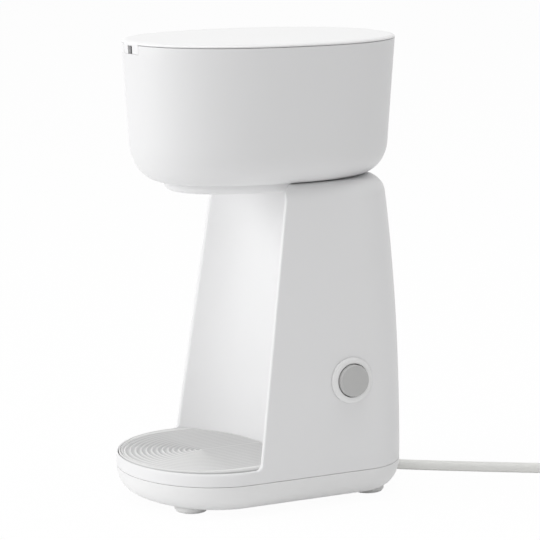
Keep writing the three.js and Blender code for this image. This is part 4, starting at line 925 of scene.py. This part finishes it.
def headRing(z, offset, extra=0.0):
    return ovalRing(head, z, headInset(z, offset, head["frontCornerHeight"]) + extra,
                    backInset=headInset(z, offset, head["cornerHeight"]) + extra)


def headLevels(offset, top):
    corner = head["bottom"] + head["frontCornerHeight"]
    low = [mix(corner, head["bottom"] + offset, math.sin(t))
           for t in spread(0, math.pi / 2, head["cornerSteps"])]
    return low[:0:-1] + spread(corner, top, head["wallSteps"])


def headFront(z):
    return head["centreY"] - head["straight"] / 2 - head["frontReach"] + head["draft"] * (head["rim"] - z)


spout = dict(radius=5.5, bore=3.5, flange=9.5, flangeThick=1.5, drop=6, seat=206.8)
lid = dict(under=285.6, top=287.4, edgeRound=1.35, edgeWidth=3.6, lowRound=0.35, lowSteps=4,
           edgeSteps=12, topRings=(2.5, 5), flangeDepth=6, flangeWall=1.6, insertWall=2, lipWidth=20,
           lipDepth=5.4, slotWidth=6, slotTop=0.7, slip=0.45, lipSlip=0.16, gap=0.3)


# Tub between two stacks of rings, with a floor outside and inside
def tub(name, outside, inside):
    return skinned(name, outside + inside[::-1], (outside[0], inside[0]), shellAngle)


def makeHead():
    rr = head["rimRound"]
    outside = [headRing(z, 0) for z in headLevels(0, head["rim"] - rr)]
    outside += [headRing(head["rim"] - rr * s, 0, rr * c) for s, c in quarter(head["rimSteps"])[1:]]
    inside = [headRing(z, head["wall"]) for z in headLevels(head["wall"], head["rim"] - 0.2)]
    inside.append(headRing(head["rim"], head["wall"], -0.2))
    item = tub("head_tub", outside, inside)
    front = headFront(head["rim"])
    half = lid["lipWidth"] / 2 + lid["lipSlip"]
    low = head["rim"] - lid["lipDepth"] - lid["lipSlip"]
    cutters = [roundedBar("lipNotch", half, low, head["rim"] + 6, 1.2, front - 5, front + head["wall"] + 3)]
    for radius, spot in ((spout["radius"] + hose["slip"], cupSpot), (holeRadius, hose["riser"]),
                         (holeRadius, hose["feed"])):
        cutters.append(uprightBar("tubHole", radius, spot, *hose["tubCut"]))
    combine(item, cutters, sharp=shellAngle)
    return fit(item, "machine", headPlastic, ["head_shell"])


# Bar along y whose two lower corners are rounded
def roundedBar(name, half, low, high, radius, near, far, steps=5):
    return barAlongY(name, roundedBox(-half, half, low, high, radius, 0, steps), near, far)


makeHead()

# Lid: oval plate with a locating ring and a slotted lip
def makeLid():
    low, edge = lid["lowRound"], lid["edgeRound"]
    rings = [ovalRing(head, lid["under"] + low * s, low * c) for s, c in reversed(quarter(lid["lowSteps"]))]
    rings += [ovalRing(head, lid["top"] - edge * s, lid["edgeWidth"] * c)
              for s, c in quarter(lid["edgeSteps"])]
    rings += [ovalRing(head, lid["top"], lid["edgeWidth"] + reach) for reach in lid["topRings"]]
    item = loft("lid_plate", rings, panelAngle)
    low, high = lid["under"] - lid["flangeDepth"], lid["under"] + 0.6
    draft = head["draft"] * (head["rim"] - low)
    near = head["wall"] + lid["gap"] + lid["insertWall"] + lid["slip"] + draft
    far = near + lid["flangeWall"]
    shell = [ovalRing(head, z, inset) for inset, z in (
        (near, high), (near, low + 0.3), (near + 0.3, low), (far - 0.3, low), (far, low + 0.3), (far, high))]
    flange = skinned("flange", shell + shell[:1])
    front = headFront(head["rim"])
    lip = roundedBar("lip", lid["lipWidth"] / 2, lid["under"] - lid["lipDepth"] - lid["gap"],
                     lid["under"] + 0.5, 1.0, front - 4, front + head["wall"], 4)
    blank = loft("blank", [headRing(z, 0) for z in spread(head["rim"] - 10, lid["top"], 3)])
    combine(lip, [blank], "INTERSECT")
    combine(item, [flange, lip], "UNION", panelAngle)
    slotTop = lid["under"] - lid["slotTop"]
    slot = roundedBar("slot", lid["slotWidth"] / 2, slotTop - lid["lipDepth"] - 4, slotTop, 0, front - 8,
                      front + 12)
    combine(item, [slot], sharp=panelAngle)
    fit(item, "lid", lidPlastic, ["lid"])
    # The lip has the housing's finish
    item.data.materials.append(whitePlastic)
    for face in item.data.polygons:
        if face.center.z < lid["under"] * mm and face.center.y < (front + head["wall"]) * mm:
            face.material_index = 1


makeLid()
print("head and lid are made")

# Outlet shroud: rounded plate under the head, drawn back to the cup wall behind
shroud = dict(halfWidth=37, frontReach=63.7, backReach=60, power=2.1, drop=6, round=5, gap=0.3, slip=0.45,
              steps=200, roundSteps=14)


def makeShroud():
    top = head["bottom"] - shroud["gap"]
    bottom = top - shroud["drop"]
    rings = []
    levels = [bottom + shroud["round"] * c for s, c in quarter(shroud["roundSteps"])]
    levels += [top - 0.2, top]
    for z in levels:
        share = max(0, bottom + shroud["round"] - z) / shroud["round"]
        ring = ovalRing(shroud, z, drawn(shroud["round"], share) + (0.2 if z == top else 0), shroud["steps"])
        wallY = lambda x: arcY(x, min(z, h["top"])) - shroud["slip"]
        rings.append([(x, min(y, wallY(x)), z) for x, y, z in ring])
    item = loft("outlet_cover", rings, panelAngle)
    combine(item, [uprightBar("way", spout["radius"] + shroud["slip"], cupSpot, 180, 210)], sharp=panelAngle)
    return fit(item, "machine", whitePlastic, ["outlet_shroud"])


makeShroud()


def makeSpout():
    bottom, seat = head["bottom"] - spout["drop"], spout["seat"]
    top = seat + spout["flangeThick"]
    shape = roundedProfile([
        (spout["bore"], bottom, 0.4), (spout["radius"], bottom, 0.5), (spout["radius"], seat, 0),
        (spout["flange"], seat, 0.3), (spout["flange"], top, 0.3), (spout["bore"], top, 0.4)], 4)
    item = turned("drip_nozzle", shape + [shape[0]], 64, cupSpot)
    return fit(item, "machine", clearPlastic, ["drip_spout"])


makeSpout()

# Base cover: dish below the parting line, with the cord's notch behind
cover = dict(bottom=3.6, wall=2.4, seam=0.14, gap=0.3, lowSteps=22, seamSteps=3, innerSteps=12,
             innerPower=1.6, notchWidth=15, notchHeight=12.4, notchRoof=2, notchFront=46, footRadius=10.4,
             footHeight=4.8, screwRadius=3, screwSink=2.2, screwHead=2)
footPlaces = [(-26, -58.45), (-34.6, 61.15), (26, -58.45), (34.6, 61.15)]
coverScrewPlaces = [(-43.5, -22.3), (43.5, -22.3), (-45, 36), (45, 36)]


def fullLine(z, inset):
    line = backLine(z, inset, cupY)
    return line + frontLine(z, inset, cupY)[::-1][1:-1]


def makeCover():
    top = h["parting"] - cover["gap"]
    low = [h["widest"] - h["edgeHeight"] * math.sin(t) for t in spread(0, math.pi / 2, cover["lowSteps"])]
    low = [z for z in low if cover["bottom"] + 0.8 < z < top - 1]
    outside = [fullLine(cover["bottom"], lowerInset(cover["bottom"]) + 0.6)]
    levels = [cover["bottom"] + 0.5, *low[::-1], top - 0.9, top - cover["seam"]]
    outside += [fullLine(z, lowerInset(z)) for z in levels]
    for s, c in quarter(cover["seamSteps"])[1:]:
        outside.append(fullLine(top - cover["seam"] * s, lowerInset(top) + cover["seam"] * c))
    floor = cover["bottom"] + cover["wall"]

    def innerInset(z):
        share = max(0, h["widest"] - z) / (h["edgeHeight"] - cover["wall"])
        return cover["wall"] + drawn(h["edgeWidth"] - cover["wall"], share)

    levels = [mix(floor, top, t ** cover["innerPower"]) for t in spread(0, 1, cover["innerSteps"])]
    inside = [fullLine(z, innerInset(z)) for z in levels]
    dish = tub("cover_dish", outside, inside)
    solid = loft("coverBlank", outside)

    # The cord's notch runs in a tunnel of its own
    x, half, wall = relief["x"], cover["notchWidth"] / 2, cover["notchRoof"]
    roof = cover["bottom"] + cover["notchHeight"]
    tunnel = boxCutter("tunnel", (x - half - wall, cover["notchFront"] - wall, cover["bottom"] + 0.7),
                       (x + half + wall, 99, roof + wall))
    combine(tunnel, [solid], "INTERSECT")
    combine(dish, [tunnel], "UNION", shellAngle)
    mouth = roundedBox(x - half, x + half, cover["bottom"] - 6, roof, 0, 3.5, 6)
    cutters = [barAlongY("way", mouth, cover["notchFront"], 110),
               barCutter("reliefHole", relief["grip"] + 0.3, (x, 30, relief["z"]), (x, 60, relief["z"]), 48)]
    for name, radius, high, places, sides in (
            ("footSeat", cover["footRadius"], cover["footHeight"] + cover["gap"], footPlaces, 64),
            ("screwWell", cover["screwRadius"], cover["bottom"] + cover["screwSink"] + cover["screwHead"],
             coverScrewPlaces, 32)):
        cutters += [uprightBar(name, radius + cover["gap"], spot, -4, high, sides) for spot in places]
    combine(dish, cutters, sharp=shellAngle)
    return fit(dish, "machine", coverPlastic, ["base_cover"])


makeCover()
print("base cover is made")

# Geometry trees
def geometryTree(name, inputs):
    return newTree(name, "GeometryNodeTree", {"Geometry": "Geometry", **inputs}, {"Geometry": "Geometry"})


# Ends a geometry tree: real geometry with its material set
def closeTree(tree, given, out, shape):
    real = newNode(tree, "GeometryNodeRealizeInstances", Geometry=shape)
    paint = newNode(tree, "GeometryNodeSetMaterial", Geometry=real.outputs["Geometry"],
                    Material=given.outputs["Material"])
    tree.links.new(paint.outputs["Geometry"], out.inputs["Geometry"])
    return tree


def applyTree(item, tree, **values):
    step = item.modifiers.new("shape", "NODES")
    step.node_group = tree
    for socket in tree.interface.items_tree:
        if socket.item_type == "SOCKET" and socket.in_out == "INPUT" and socket.name in values:
            step[socket.identifier] = values[socket.name]
    bakeShape(item)
    smooth(item.data, shellAngle)


# Drip tray: plate laid out in rings about a middle, with ridges that run straight back to the cup wall
# In the tray's sizes, the tone 0.61 is painted shade for the hollows between the ridges
tray = dict(top=30.3, bottom=26.1, half=57.5, reach=55.4, forward=4.1, round=0.8, pitch=3.37, first=0.95,
            last=51.5, depth=1.05, sharp=2.0, grooveShade=0.61, rim=1.6, border=1.1, borderWidth=0.6,
            topSlack=0.01, perPitch=9, turns=176, backSteps=8, roundSteps=4)


def makeRidgeTree(sizes):
    tree, given, out = geometryTree("ridges", {**dict.fromkeys(sizes, "Float"), "Material": "Material"})
    value = given.outputs
    calc = lambda operation, *values, **options: mathNode(tree, operation, *values, **options)
    minus = lambda a, b: calc("SUBTRACT", a, b)
    times = lambda a, b: calc("MULTIPLY", a, b)
    length = lambda a, b: calc("SQRT", calc("ADD", times(a, a), times(b, b)))
    where = tree.nodes.new("GeometryNodeInputPosition")
    spot = newNode(tree, "ShaderNodeSeparateXYZ", Vector=where.outputs["Position"]).outputs
    x = minus(spot["X"], value["Middle x"])
    y = calc("MINIMUM", minus(spot["Y"], value["Middle y"]), 0.0)
    radius = length(x, y)
    phase = calc("DIVIDE", minus(radius, value["First"]), value["Pitch"])
    wave = calc("COSINE", times(phase, 2 * math.pi))
    ridge = calc("POWER", calc("MULTIPLY_ADD", wave, 0.5, 0.5, clamp=True), value["Sharp"])
    hollow = minus(1.0, ridge)
    # Shares of the tray's half oval and of its sides, so that the hollows fade out at the rim
    across = calc("DIVIDE", x, value["Half"])
    along = calc("DIVIDE", calc("MINIMUM", minus(spot["Y"], value["Line y"]), 0.0), value["Reach"])
    room = times(minus(1.0, length(across, along)), value["Reach"])
    fade = calc("DIVIDE", minus(room, value["Rim"]), value["Rim"], clamp=True)
    inRings = calc("LESS_THAN", radius, value["Last"])
    onTop = calc("GREATER_THAN", spot["Z"], minus(value["Top"], value["Top slack"]))
    # A fine groove follows the rim
    aside = calc("ABSOLUTE", minus(room, value["Border"]))
    border = calc("SUBTRACT", 1.0, calc("DIVIDE", aside, value["Border width"]), clamp=True)
    rings = times(times(hollow, fade), inRings)
    share = times(calc("MAXIMUM", rings, border), onTop)
    drop = times(times(share, value["Depth"]), -1.0)
    offset = newNode(tree, "ShaderNodeCombineXYZ", Z=drop)
    move = newNode(tree, "GeometryNodeSetPosition", Geometry=value["Geometry"],
                   Offset=offset.outputs["Vector"])
    return closeTree(tree, given, out, move.outputs["Geometry"])


def trayRows():
    t = tray
    middle = cupY - t["forward"]
    back = lambda x: arcY(x, h["rim"]) - h["slip"]
    side = lambda y: t["half"] * math.sqrt(1 - (max(0, cupY - y) / t["reach"]) ** 2)
    step = t["pitch"] / t["perPitch"]
    rings = range(-math.floor(t["first"] / step), math.ceil((t["half"] - t["first"]) / step))
    turns = spread(0, math.pi / 2, t["roundSteps"])
    radii = [(r, 0) for r in [0] + [t["first"] + step * k for k in rings]] + [(None, a) for a in turns]
    backs = [(1.0, a) for a in turns[::-1]] + [(s, 0) for s in spread(1, 0, t["backSteps"])[1:]]
    rise = lambda a: t["top"] - t["round"] * (1 - math.cos(a))
    within = lambda radius, limit, a: limit + t["round"] * math.sin(a) if radius is None else min(radius, limit)

    def armPoint(hand, radius, a, share, backTurn):
        y = middle
        for again in range(3):
            x = within(radius, side(y) - t["round"], a)
            edge = back(x) - t["round"]
            y = edge + t["round"] * math.sin(backTurn) if share == 1 else mix(middle, edge, share)
        return (hand * x, y, min(rise(a), rise(backTurn)))

    def frontPoint(turn, radius, a):
        cx, cy = math.cos(turn), math.sin(turn)
        k, b = (cx / t["half"]) ** 2 + (cy / t["reach"]) ** 2, (middle - cupY) * cy / t["reach"] ** 2
        edge = (-b + math.sqrt(b * b - k * (((middle - cupY) / t["reach"]) ** 2 - 1))) / k - t["round"]
        r = within(radius, edge, a)
        return (r * cx, middle + r * cy, rise(a))

    rows = []
    for radius, a in radii:
        row = [armPoint(-1, radius, a, share, backTurn) for share, backTurn in backs]
        row += [frontPoint(turn, radius, a) for turn in spread(math.pi, 2 * math.pi, t["turns"])[1:-1]]
        rows.append(row + [armPoint(1, radius, a, share, backTurn) for share, backTurn in reversed(backs)])
    return rows


def makeTray():
    t = tray
    rows = trayRows()
    points, faces = [], []
    addSkin(points, faces, rows)
    loop = [row[0] for row in rows] + rows[-1][1:] + [row[-1] for row in reversed(rows[1:-1])]
    ring = [p for i, p in enumerate(loop) if math.dist(p[:2], loop[i - 1][:2]) > 0.02]
    low = [(x, y, t["bottom"]) for x, y, z in ring]
    addSkin(points, faces, [ring, low], closed=True)
    addCap(points, faces, low)
    item = meshObject("tray_plate", points, faces, shellAngle)
    sizes = {"Middle x": shiftX, "Middle y": cupY - t["forward"], "Line y": cupY, "Half": t["half"],
             "Reach": t["reach"], "Rim": t["rim"], "Top": t["top"], "Top slack": t["topSlack"],
             "Pitch": t["pitch"], "First": t["first"], "Last": t["last"], "Depth": t["depth"],
             "Border": t["border"], "Border width": t["borderWidth"]}
    sizes = {label: size * mm for label, size in sizes.items()}
    sizes["Sharp"] = t["sharp"]
    applyTree(item, makeRidgeTree(sizes), **sizes, Material=trayPlastic)
    # The hollows between the ridges get painted shade: the colour darkens below the ridge tops
    paintShadeBelow(trayPlastic, t["top"] - 0.1, t["depth"] * 0.7, (t["grooveShade"],) * 3)
    return fit(item, "tray", trayPlastic, ["drip_tray"])


makeTray()
print("tray is made")


# Tree that stands one shape on every point of a mesh
def makeRepeatTree():
    tree, given, out = geometryTree("repeats", {"Shape": "Object", "Turn": "Float", "Material": "Material"})
    shape = newNode(tree, "GeometryNodeObjectInfo", Object=given.outputs["Shape"])
    number = tree.nodes.new("GeometryNodeInputIndex").outputs["Index"]
    turn = newNode(tree, "ShaderNodeCombineXYZ", Z=mathNode(tree, "MULTIPLY", number, given.outputs["Turn"]))
    stand = newNode(tree, "GeometryNodeInstanceOnPoints", Points=given.outputs["Geometry"],
                    Instance=shape.outputs["Geometry"], Rotation=turn.outputs["Vector"])
    return closeTree(tree, given, out, stand.outputs["Instances"])


repeatTree = makeRepeatTree()


# Copies of a shape made about the frame's origin, at places given about the machine's middle line
def repeated(name, shape, places, turn, material, stands):
    mesh = bpy.data.meshes.new(name)
    mesh.from_pydata([place((x, y, 0)) for x, y in places], [], [])
    item = linked(name, mesh)
    applyTree(item, repeatTree, Shape=shape, Turn=turn, Material=material)
    bpy.data.objects.remove(shape)
    return fit(item, "machine", material, stands)


def turnedAtOrigin(name, profile, sides):
    return turned(name, profile, sides, (-shiftX, 0), screwAngle)


foot = dict(radius=10.4, low=9.5, chamfer=1.8, height=4.8, edge=0.5, hollow=0.8, hollowRadius=5.5)


def makeFeet():
    f = foot
    radius, low, height, edge, hollow = f["radius"], f["low"], f["height"], f["edge"], f["hollowRadius"]
    profile = [(0, f["hollow"]), (hollow - 0.6, f["hollow"]), (hollow, 0.25), (hollow + 0.35, 0),
               (low - edge, 0), (low - 0.15, 0.15), (low, edge), (radius - 0.1, f["chamfer"] - 0.3),
               (radius, f["chamfer"]), (radius, height - edge), (radius - 0.15, height - 0.15),
               (radius - edge, height), (0, height)]
    return repeated("feet", turnedAtOrigin("foot", profile, 96), footPlaces, 0.0, footRubber,
                    ["front_left_foot", "back_left_foot", "front_right_foot", "back_right_foot"])


screw = dict(shaft=1.5, root=1.2, threadPitch=1.1, head=3, headHeight=2, length=22, tip=2.2, cross=0.9,
             crossReach=3.4, crossDepth=1.1, sideways=0.7)
headScrew = dict(head=3.2, length=14, gap=0.3, places=[(-24, 34), (24, 34)], sideways=0.5)


# Screw with its head down, ringed like a thread, and a cross in the head
def makeScrew(name, low, head, length):
    s = screw
    under, top = low + s["headHeight"], low + length
    profile = [(0, low), (head - 0.5, low), (head - 0.12, low + 0.2), (head, low + 0.6), (head, under),
               (s["shaft"], under)]
    z, end = under + 1.0, top - s["tip"]
    while z + s["threadPitch"] < end:
        for radius, share in (("root", 0), ("shaft", 0.35), ("shaft", 0.5), ("root", 0.85)):
            profile.append((s[radius], z + s["threadPitch"] * share))
        z += s["threadPitch"]
    profile += [(s["root"], end), (0.25, top - 0.1), (0, top)]
    item = turnedAtOrigin(name, profile, 40)
    reach, half = s["crossReach"] / 2, s["cross"] / 2
    cutters = [boxCutter("cross", (-shiftX - a, -b, low - 2), (-shiftX + a, b, low + s["crossDepth"]))
               for a, b in ((reach, half), (half, reach))]
    return combine(item, cutters, sharp=screwAngle)


makeFeet()
coverScrewShape = makeScrew("coverScrew", cover["bottom"] + cover["screwSink"], screw["head"],
                            screw["length"])
repeated("cover_screws", coverScrewShape, coverScrewPlaces, screw["sideways"], plainSteel,
         ["cover_screw_1", "cover_screw_2", "cover_screw_3", "cover_screw_4"])
headScrewShape = makeScrew("headScrew", h["top"] - h["roof"] - headScrew["gap"] - screw["headHeight"],
                           headScrew["head"], headScrew["length"])
repeated("head_screws", headScrewShape, headScrew["places"], headScrew["sideways"], plainSteel,
         ["head_screw_1", "head_screw_2"])
print("feet and screws are made")

# Head insert: water tank, filter chamber and the riser's chimney in one moulding
insert = dict(offset=2.7, wall=2, top=283, innerTop=276.7, chamber=36, step=2.4, seat=264, floor=203.5,
              chamberFloor=206.5, chimney=6.65, chimneyWall=2, boss=4.5, bossHeight=8, spigot=4,
              spigotDrop=15, drain=2.6, screwHole=1.8, slotFloor=279.3)


def makeInsert():
    n = insert
    outside = [headRing(z, n["offset"]) for z in headLevels(n["offset"], n["top"] - 0.3)]
    outside.append(headRing(n["top"], n["offset"], 0.3))
    inside = [headRing(z, n["offset"] + n["wall"])
              for z in headLevels(n["offset"] + n["wall"], n["top"] - 0.3)]
    inside.append(headRing(n["top"], n["offset"] + n["wall"], -0.3))
    item = tub("head_tank", outside, inside)
    floor = n["floor"] + 0.5

    def post(name, radius, top, spot, sides=96):
        edge = 0.35
        profile = [(0, floor), (radius, floor), (radius, top - edge), (radius - edge * 0.3, top - edge * 0.3),
                   (radius - edge, top), (0, top)]
        return turned(name, profile, sides, spot)

    bossTop, spigotLow, spigotHigh = n["floor"] + n["bossHeight"], n["floor"] - n["spigotDrop"], floor + 0.6
    added = [post("chamberPost", n["chamber"] + n["wall"], n["innerTop"], cupSpot, 192),
             post("chimneyPost", n["chimney"] + n["chimneyWall"], n["innerTop"], hose["riser"])]
    added += [post("boss", n["boss"], bossTop, spot, 48) for spot in headScrew["places"]]
    spigot = [(0, spigotLow), (n["spigot"] - 0.5, spigotLow), (n["spigot"], spigotLow + 1.2),
              (n["spigot"], spigotHigh), (0, spigotHigh)]
    added.append(turned("spigot", spigot, 48, hose["feed"]))
    for one in added:
        combine(item, [one], "UNION", shellAngle)
    inner, low, above = n["chamber"] - n["step"], n["chamberFloor"], n["top"] + 9
    chamber = [(0, low), (inner - 1, low), (inner - 0.3, low + 0.3), (inner, low + 1), (inner, n["seat"]),
               (n["chamber"], n["seat"]), (n["chamber"], above), (0, above)]
    cutters = [turned("chamber", chamber, 192, cupSpot),
               uprightBar("outlet", spout["radius"] + hose["slip"], cupSpot, 190, 215),
               uprightBar("chimney", n["chimney"], hose["riser"], 190, 300),
               uprightBar("drain", n["drain"], hose["feed"], 180, 220)]
    cutters += [uprightBar("screwHole", n["screwHole"], spot, 190, bossTop - n["wall"])
                for spot in headScrew["places"]]
    front, half = headFront(head["rim"]) + n["offset"] + n["wall"], lid["slotWidth"] / 2
    cutters.append(boxCutter("slot", (-half, front - 10, n["slotFloor"]), (half, front + 10, 300)))
    combine(item, cutters, sharp=shellAngle)
    return fit(item, "machine", clearPlastic, ["head_insert"])


makeInsert()

# Filter basket with its two grips, and the woven mesh in its floor
basket = dict(mouth=20, floor=210.8, low=26, lip=264.3, top=32.45, outer=35.55, wall=1.6, lipHeight=2,
              grip=32.65, gripThick=1.8, gripWidth=12, gripHeight=7, mesh=23.9, meshRim=1.6, meshLow=212.7,
              meshHigh=213.3, weave=0.95, wire=0.3, waviness=0.13)


def makeBasket():
    b = basket
    high, floor = b["lip"] + b["lipHeight"], b["floor"] + b["wall"]
    line = roundedProfile([
        (b["mouth"], b["floor"], 0.4), (b["low"], b["floor"], 0.8), (b["top"], b["lip"], 0.3),
        (b["outer"], b["lip"], 0.3), (b["outer"], high, 0.5), (b["top"] - b["wall"], high, 0.5),
        (b["low"] - b["wall"], floor, 0.6), (b["mouth"], floor, 0.4)], 4)
    item = turned("filter_cup", line + [line[0]], 160, cupSpot)
    half, thick = b["gripWidth"] / 2, b["gripThick"] / 2
    shape = roundedBox(cupY - half, cupY + half, high - 0.8, high + b["gripHeight"], 0, 2.4, 6)
    grips = []
    for middle in (-b["grip"], b["grip"]):
        grips.append(loft("grip", [[(x, y, z) for y, z in shape] for x in (middle - thick, middle + thick)]))
    combine(item, grips, "UNION", shellAngle)
    return fit(item, "basket", darkPlastic, ["filter_basket"])


def makeMesh():
    b = basket
    low, high = b["meshLow"], b["meshHigh"]
    middle = (low + high) / 2
    rim = roundedBox(b["mesh"] - b["meshRim"], b["mesh"], low, high, 0.1, 0.1, 2)
    item = turned("filter_weave", rim + [rim[0]], 128, cupSpot)
    points, faces = [], []
    reach, half = b["mesh"] - 1.1, b["wire"] / 2
    count = int(reach / b["weave"])
    for across in (0, 1):
        for k in range(-count, count + 1):
            side = k * b["weave"]
            span = math.sqrt(reach * reach - side * side)
            rows = []
            for s in spread(-span, span, max(2, int(2 * span / b["weave"]) * 2)):
                lift = middle + b["waviness"] * math.cos(math.pi * (s / b["weave"] + k + across))
                ring = [(side - half, s, lift), (side, s, lift + half), (side + half, s, lift),
                        (side, s, lift - half)]
                rows.append([((y, cupY + x, z) if across else (x, cupY + y, z)) for x, y, z in ring])
            addSkin(points, faces, rows, closed=True)
            addCap(points, faces, rows[0])
            addCap(points, faces, rows[-1])
    wires = meshObject("wires", points, faces, 80)
    work = bmesh.new()
    work.from_mesh(item.data)
    work.from_mesh(wires.data)
    work.to_mesh(item.data)
    work.free()
    bpy.data.objects.remove(wires)
    smooth(item.data, 60)
    return fit(item, "basket", plainSteel, ["filter_mesh"])


makeBasket()
makeMesh()

# Water channel under the lid, and the shower plate it feeds
channel = dict(half=9, near=-43.25, far=39, low=277, high=285.3, wall=1.6, hole=2.6, outlet=2.5,
               cut=(270, 281))
shower = dict(radius=20, low=272, thick=1.6, hub=5, high=276.7, bore=2.5, boreFloor=0.8, holes=6, hole=1.2,
              ring=13)


def makeChannel():
    c = channel
    half, near, far = c["half"], c["near"], c["far"]
    level = lambda z, inset, r: [(x, y, z) for x, y in roundedBox(
        inset - half, half - inset, near + inset, far - inset, r, r, 8)]
    floor = c["low"] + c["wall"]
    item = loft("water_channel", [
        level(c["low"], 0.3, 2.9), level(c["low"] + 0.3, 0, 3.2), level(c["high"], 0, 3.2),
        level(c["high"], c["wall"], 2.0), level(floor + 0.5, c["wall"], 2.0),
        level(floor, c["wall"] + 0.5, 1.7)], shellAngle)
    combine(item, [uprightBar("inlet", c["hole"], hose["riser"], *c["cut"], 48),
                   uprightBar("outlet", c["outlet"], cupSpot, *c["cut"], 48)], sharp=shellAngle)
    return fit(item, "lid", clearPlastic, ["lid_channel"])


def makeShower():
    s = shower
    low, plate, bore = s["low"], s["low"] + s["thick"], s["low"] + s["boreFloor"]
    line = roundedProfile([
        (0, low, 0), (s["radius"], low, 0.4), (s["radius"], plate, 0.4), (s["hub"], plate, 0.8),
        (s["hub"], s["high"], 0.3), (s["bore"], s["high"], 0.3), (s["bore"], bore, 0.3), (0, bore, 0)], 4)
    item = turned("shower_disc", line, 128, cupSpot)
    cutters = []
    for i in range(s["holes"]):
        turn = 2 * math.pi * i / s["holes"]
        spot = (s["ring"] * math.cos(turn), cupY + s["ring"] * math.sin(turn))
        cutters.append(uprightBar("hole", s["hole"], spot, low - 3, plate + 3, 32))
    combine(item, cutters, sharp=shellAngle)
    return fit(item, "lid", clearPlastic, ["shower_plate"])


makeChannel()
makeShower()
print("head's inner pieces are made")

# Finishes of the inner pieces whose shape comes from the frame
finishes = [
    (siliconeRubber, ["riser_tube", "feed_hose", "inlet_hose"]),
    (plainSteel, ["heating_element", "heater_bracket", "thermostat_clip", "button_spring", "valve_ball",
                  "hose_clamp_1", "hose_clamp_2", "hose_clamp_3", "hose_clamp_4", "hose_clamp_5",
                  "bracket_screw_1", "bracket_screw_2"]),
    (castAlloy, ["heater_body"]),
    (yellowBrass, ["switch_tab_1", "switch_tab_2"]),
    (darkPlastic, ["thermostat", "switch_body"]),
    (innerPlastic, ["terminal_block", "thermal_fuse_left", "thermal_fuse_right", "switch_plunger"]),
    (wireDark, ["line_wire", "switch_wire"]),
    (wireLight, ["neutral_wire"]),
    (clearPlastic, ["check_valve_body"]),
    (cordSheath, ["cord_tail"]),
]
for material, names in finishes:
    for name in names:
        for holder in nodes[name].material_slots:
            holder.material = material
print("inner finishes are set")

# Floor, backdrop and light
studio = dict(floorSize=14.0, floorTone=0.95, floorGlow=0.965, worldGlow=0.43, aim=(0, 0, 0.14), lampSize=1.7,
              lamps={"key": (37.5, (-0.68, -2.54, 1.1)), "top": (25.5, (0.1, 0.05, 2.6)),
                     "fill": (6.0, (2.03, -1.08, 1.75))})


# Rays that see the backdrop itself: from the camera, off gloss and through clear pieces
def seenShare(tree):
    path = tree.nodes.new("ShaderNodeLightPath")
    seen = mathNode(tree, "ADD", path.outputs["Is Camera Ray"], path.outputs["Is Glossy Ray"])
    return mathNode(tree, "ADD", seen, path.outputs["Is Transmission Ray"], clamp=True)


# Ends a tree with a blend of two shaders
def closeBlend(tree, share, first, second, ending):
    blend = newNode(tree, "ShaderNodeMixShader", Fac=share)
    tree.links.new(first, blend.inputs[1])
    tree.links.new(second, blend.inputs[2])
    tree.links.new(blend.outputs["Shader"], tree.nodes[ending].inputs["Surface"])


def makeFloor():
    half = studio["floorSize"] / 2
    mesh = bpy.data.meshes.new("floor")
    corners = [(-half, -half, 0), (half, -half, 0), (half, half, 0), (-half, half, 0)]
    mesh.from_pydata(corners, [], [(0, 1, 2, 3)])
    item = linked("floor", mesh)
    material = bpy.data.materials.new("floorPaint")
    material.use_nodes = True
    tree = material.node_tree
    tree.nodes.remove(tree.nodes["Principled BSDF"])
    paint = newNode(tree, "ShaderNodeBsdfDiffuse", Color=plain((studio["floorTone"],) * 3))
    glow = newNode(tree, "ShaderNodeEmission", Color=white, Strength=1.0)
    share = mathNode(tree, "MULTIPLY", seenShare(tree), studio["floorGlow"])
    closeBlend(tree, share, paint.outputs["BSDF"], glow.outputs["Emission"], "Material Output")
    mesh.materials.append(material)


def makeWorld():
    world = bpy.data.worlds.new("studio")
    bpy.context.scene.world = world
    world.use_nodes = True
    tree = world.node_tree
    glow = tree.nodes["Background"]
    glow.inputs["Color"].default_value = white
    glow.inputs["Strength"].default_value = studio["worldGlow"]
    seen = newNode(tree, "ShaderNodeBackground", Color=white, Strength=1.0)
    closeBlend(tree, seenShare(tree), glow.outputs["Background"], seen.outputs["Background"], "World Output")


def makeLamp(name, power, spot):
    data = bpy.data.lights.new(name, "AREA")
    data.shape = "SQUARE"
    data.size = studio["lampSize"]
    data.energy = power
    item = linked(name, data)
    item.location = spot
    lookAlong(item, Vector(studio["aim"]) - Vector(spot))


makeFloor()
makeWorld()
for lamp, (power, spot) in studio["lamps"].items():
    makeLamp(lamp, power, spot)
bpy.context.scene.view_settings.view_transform = "Standard"
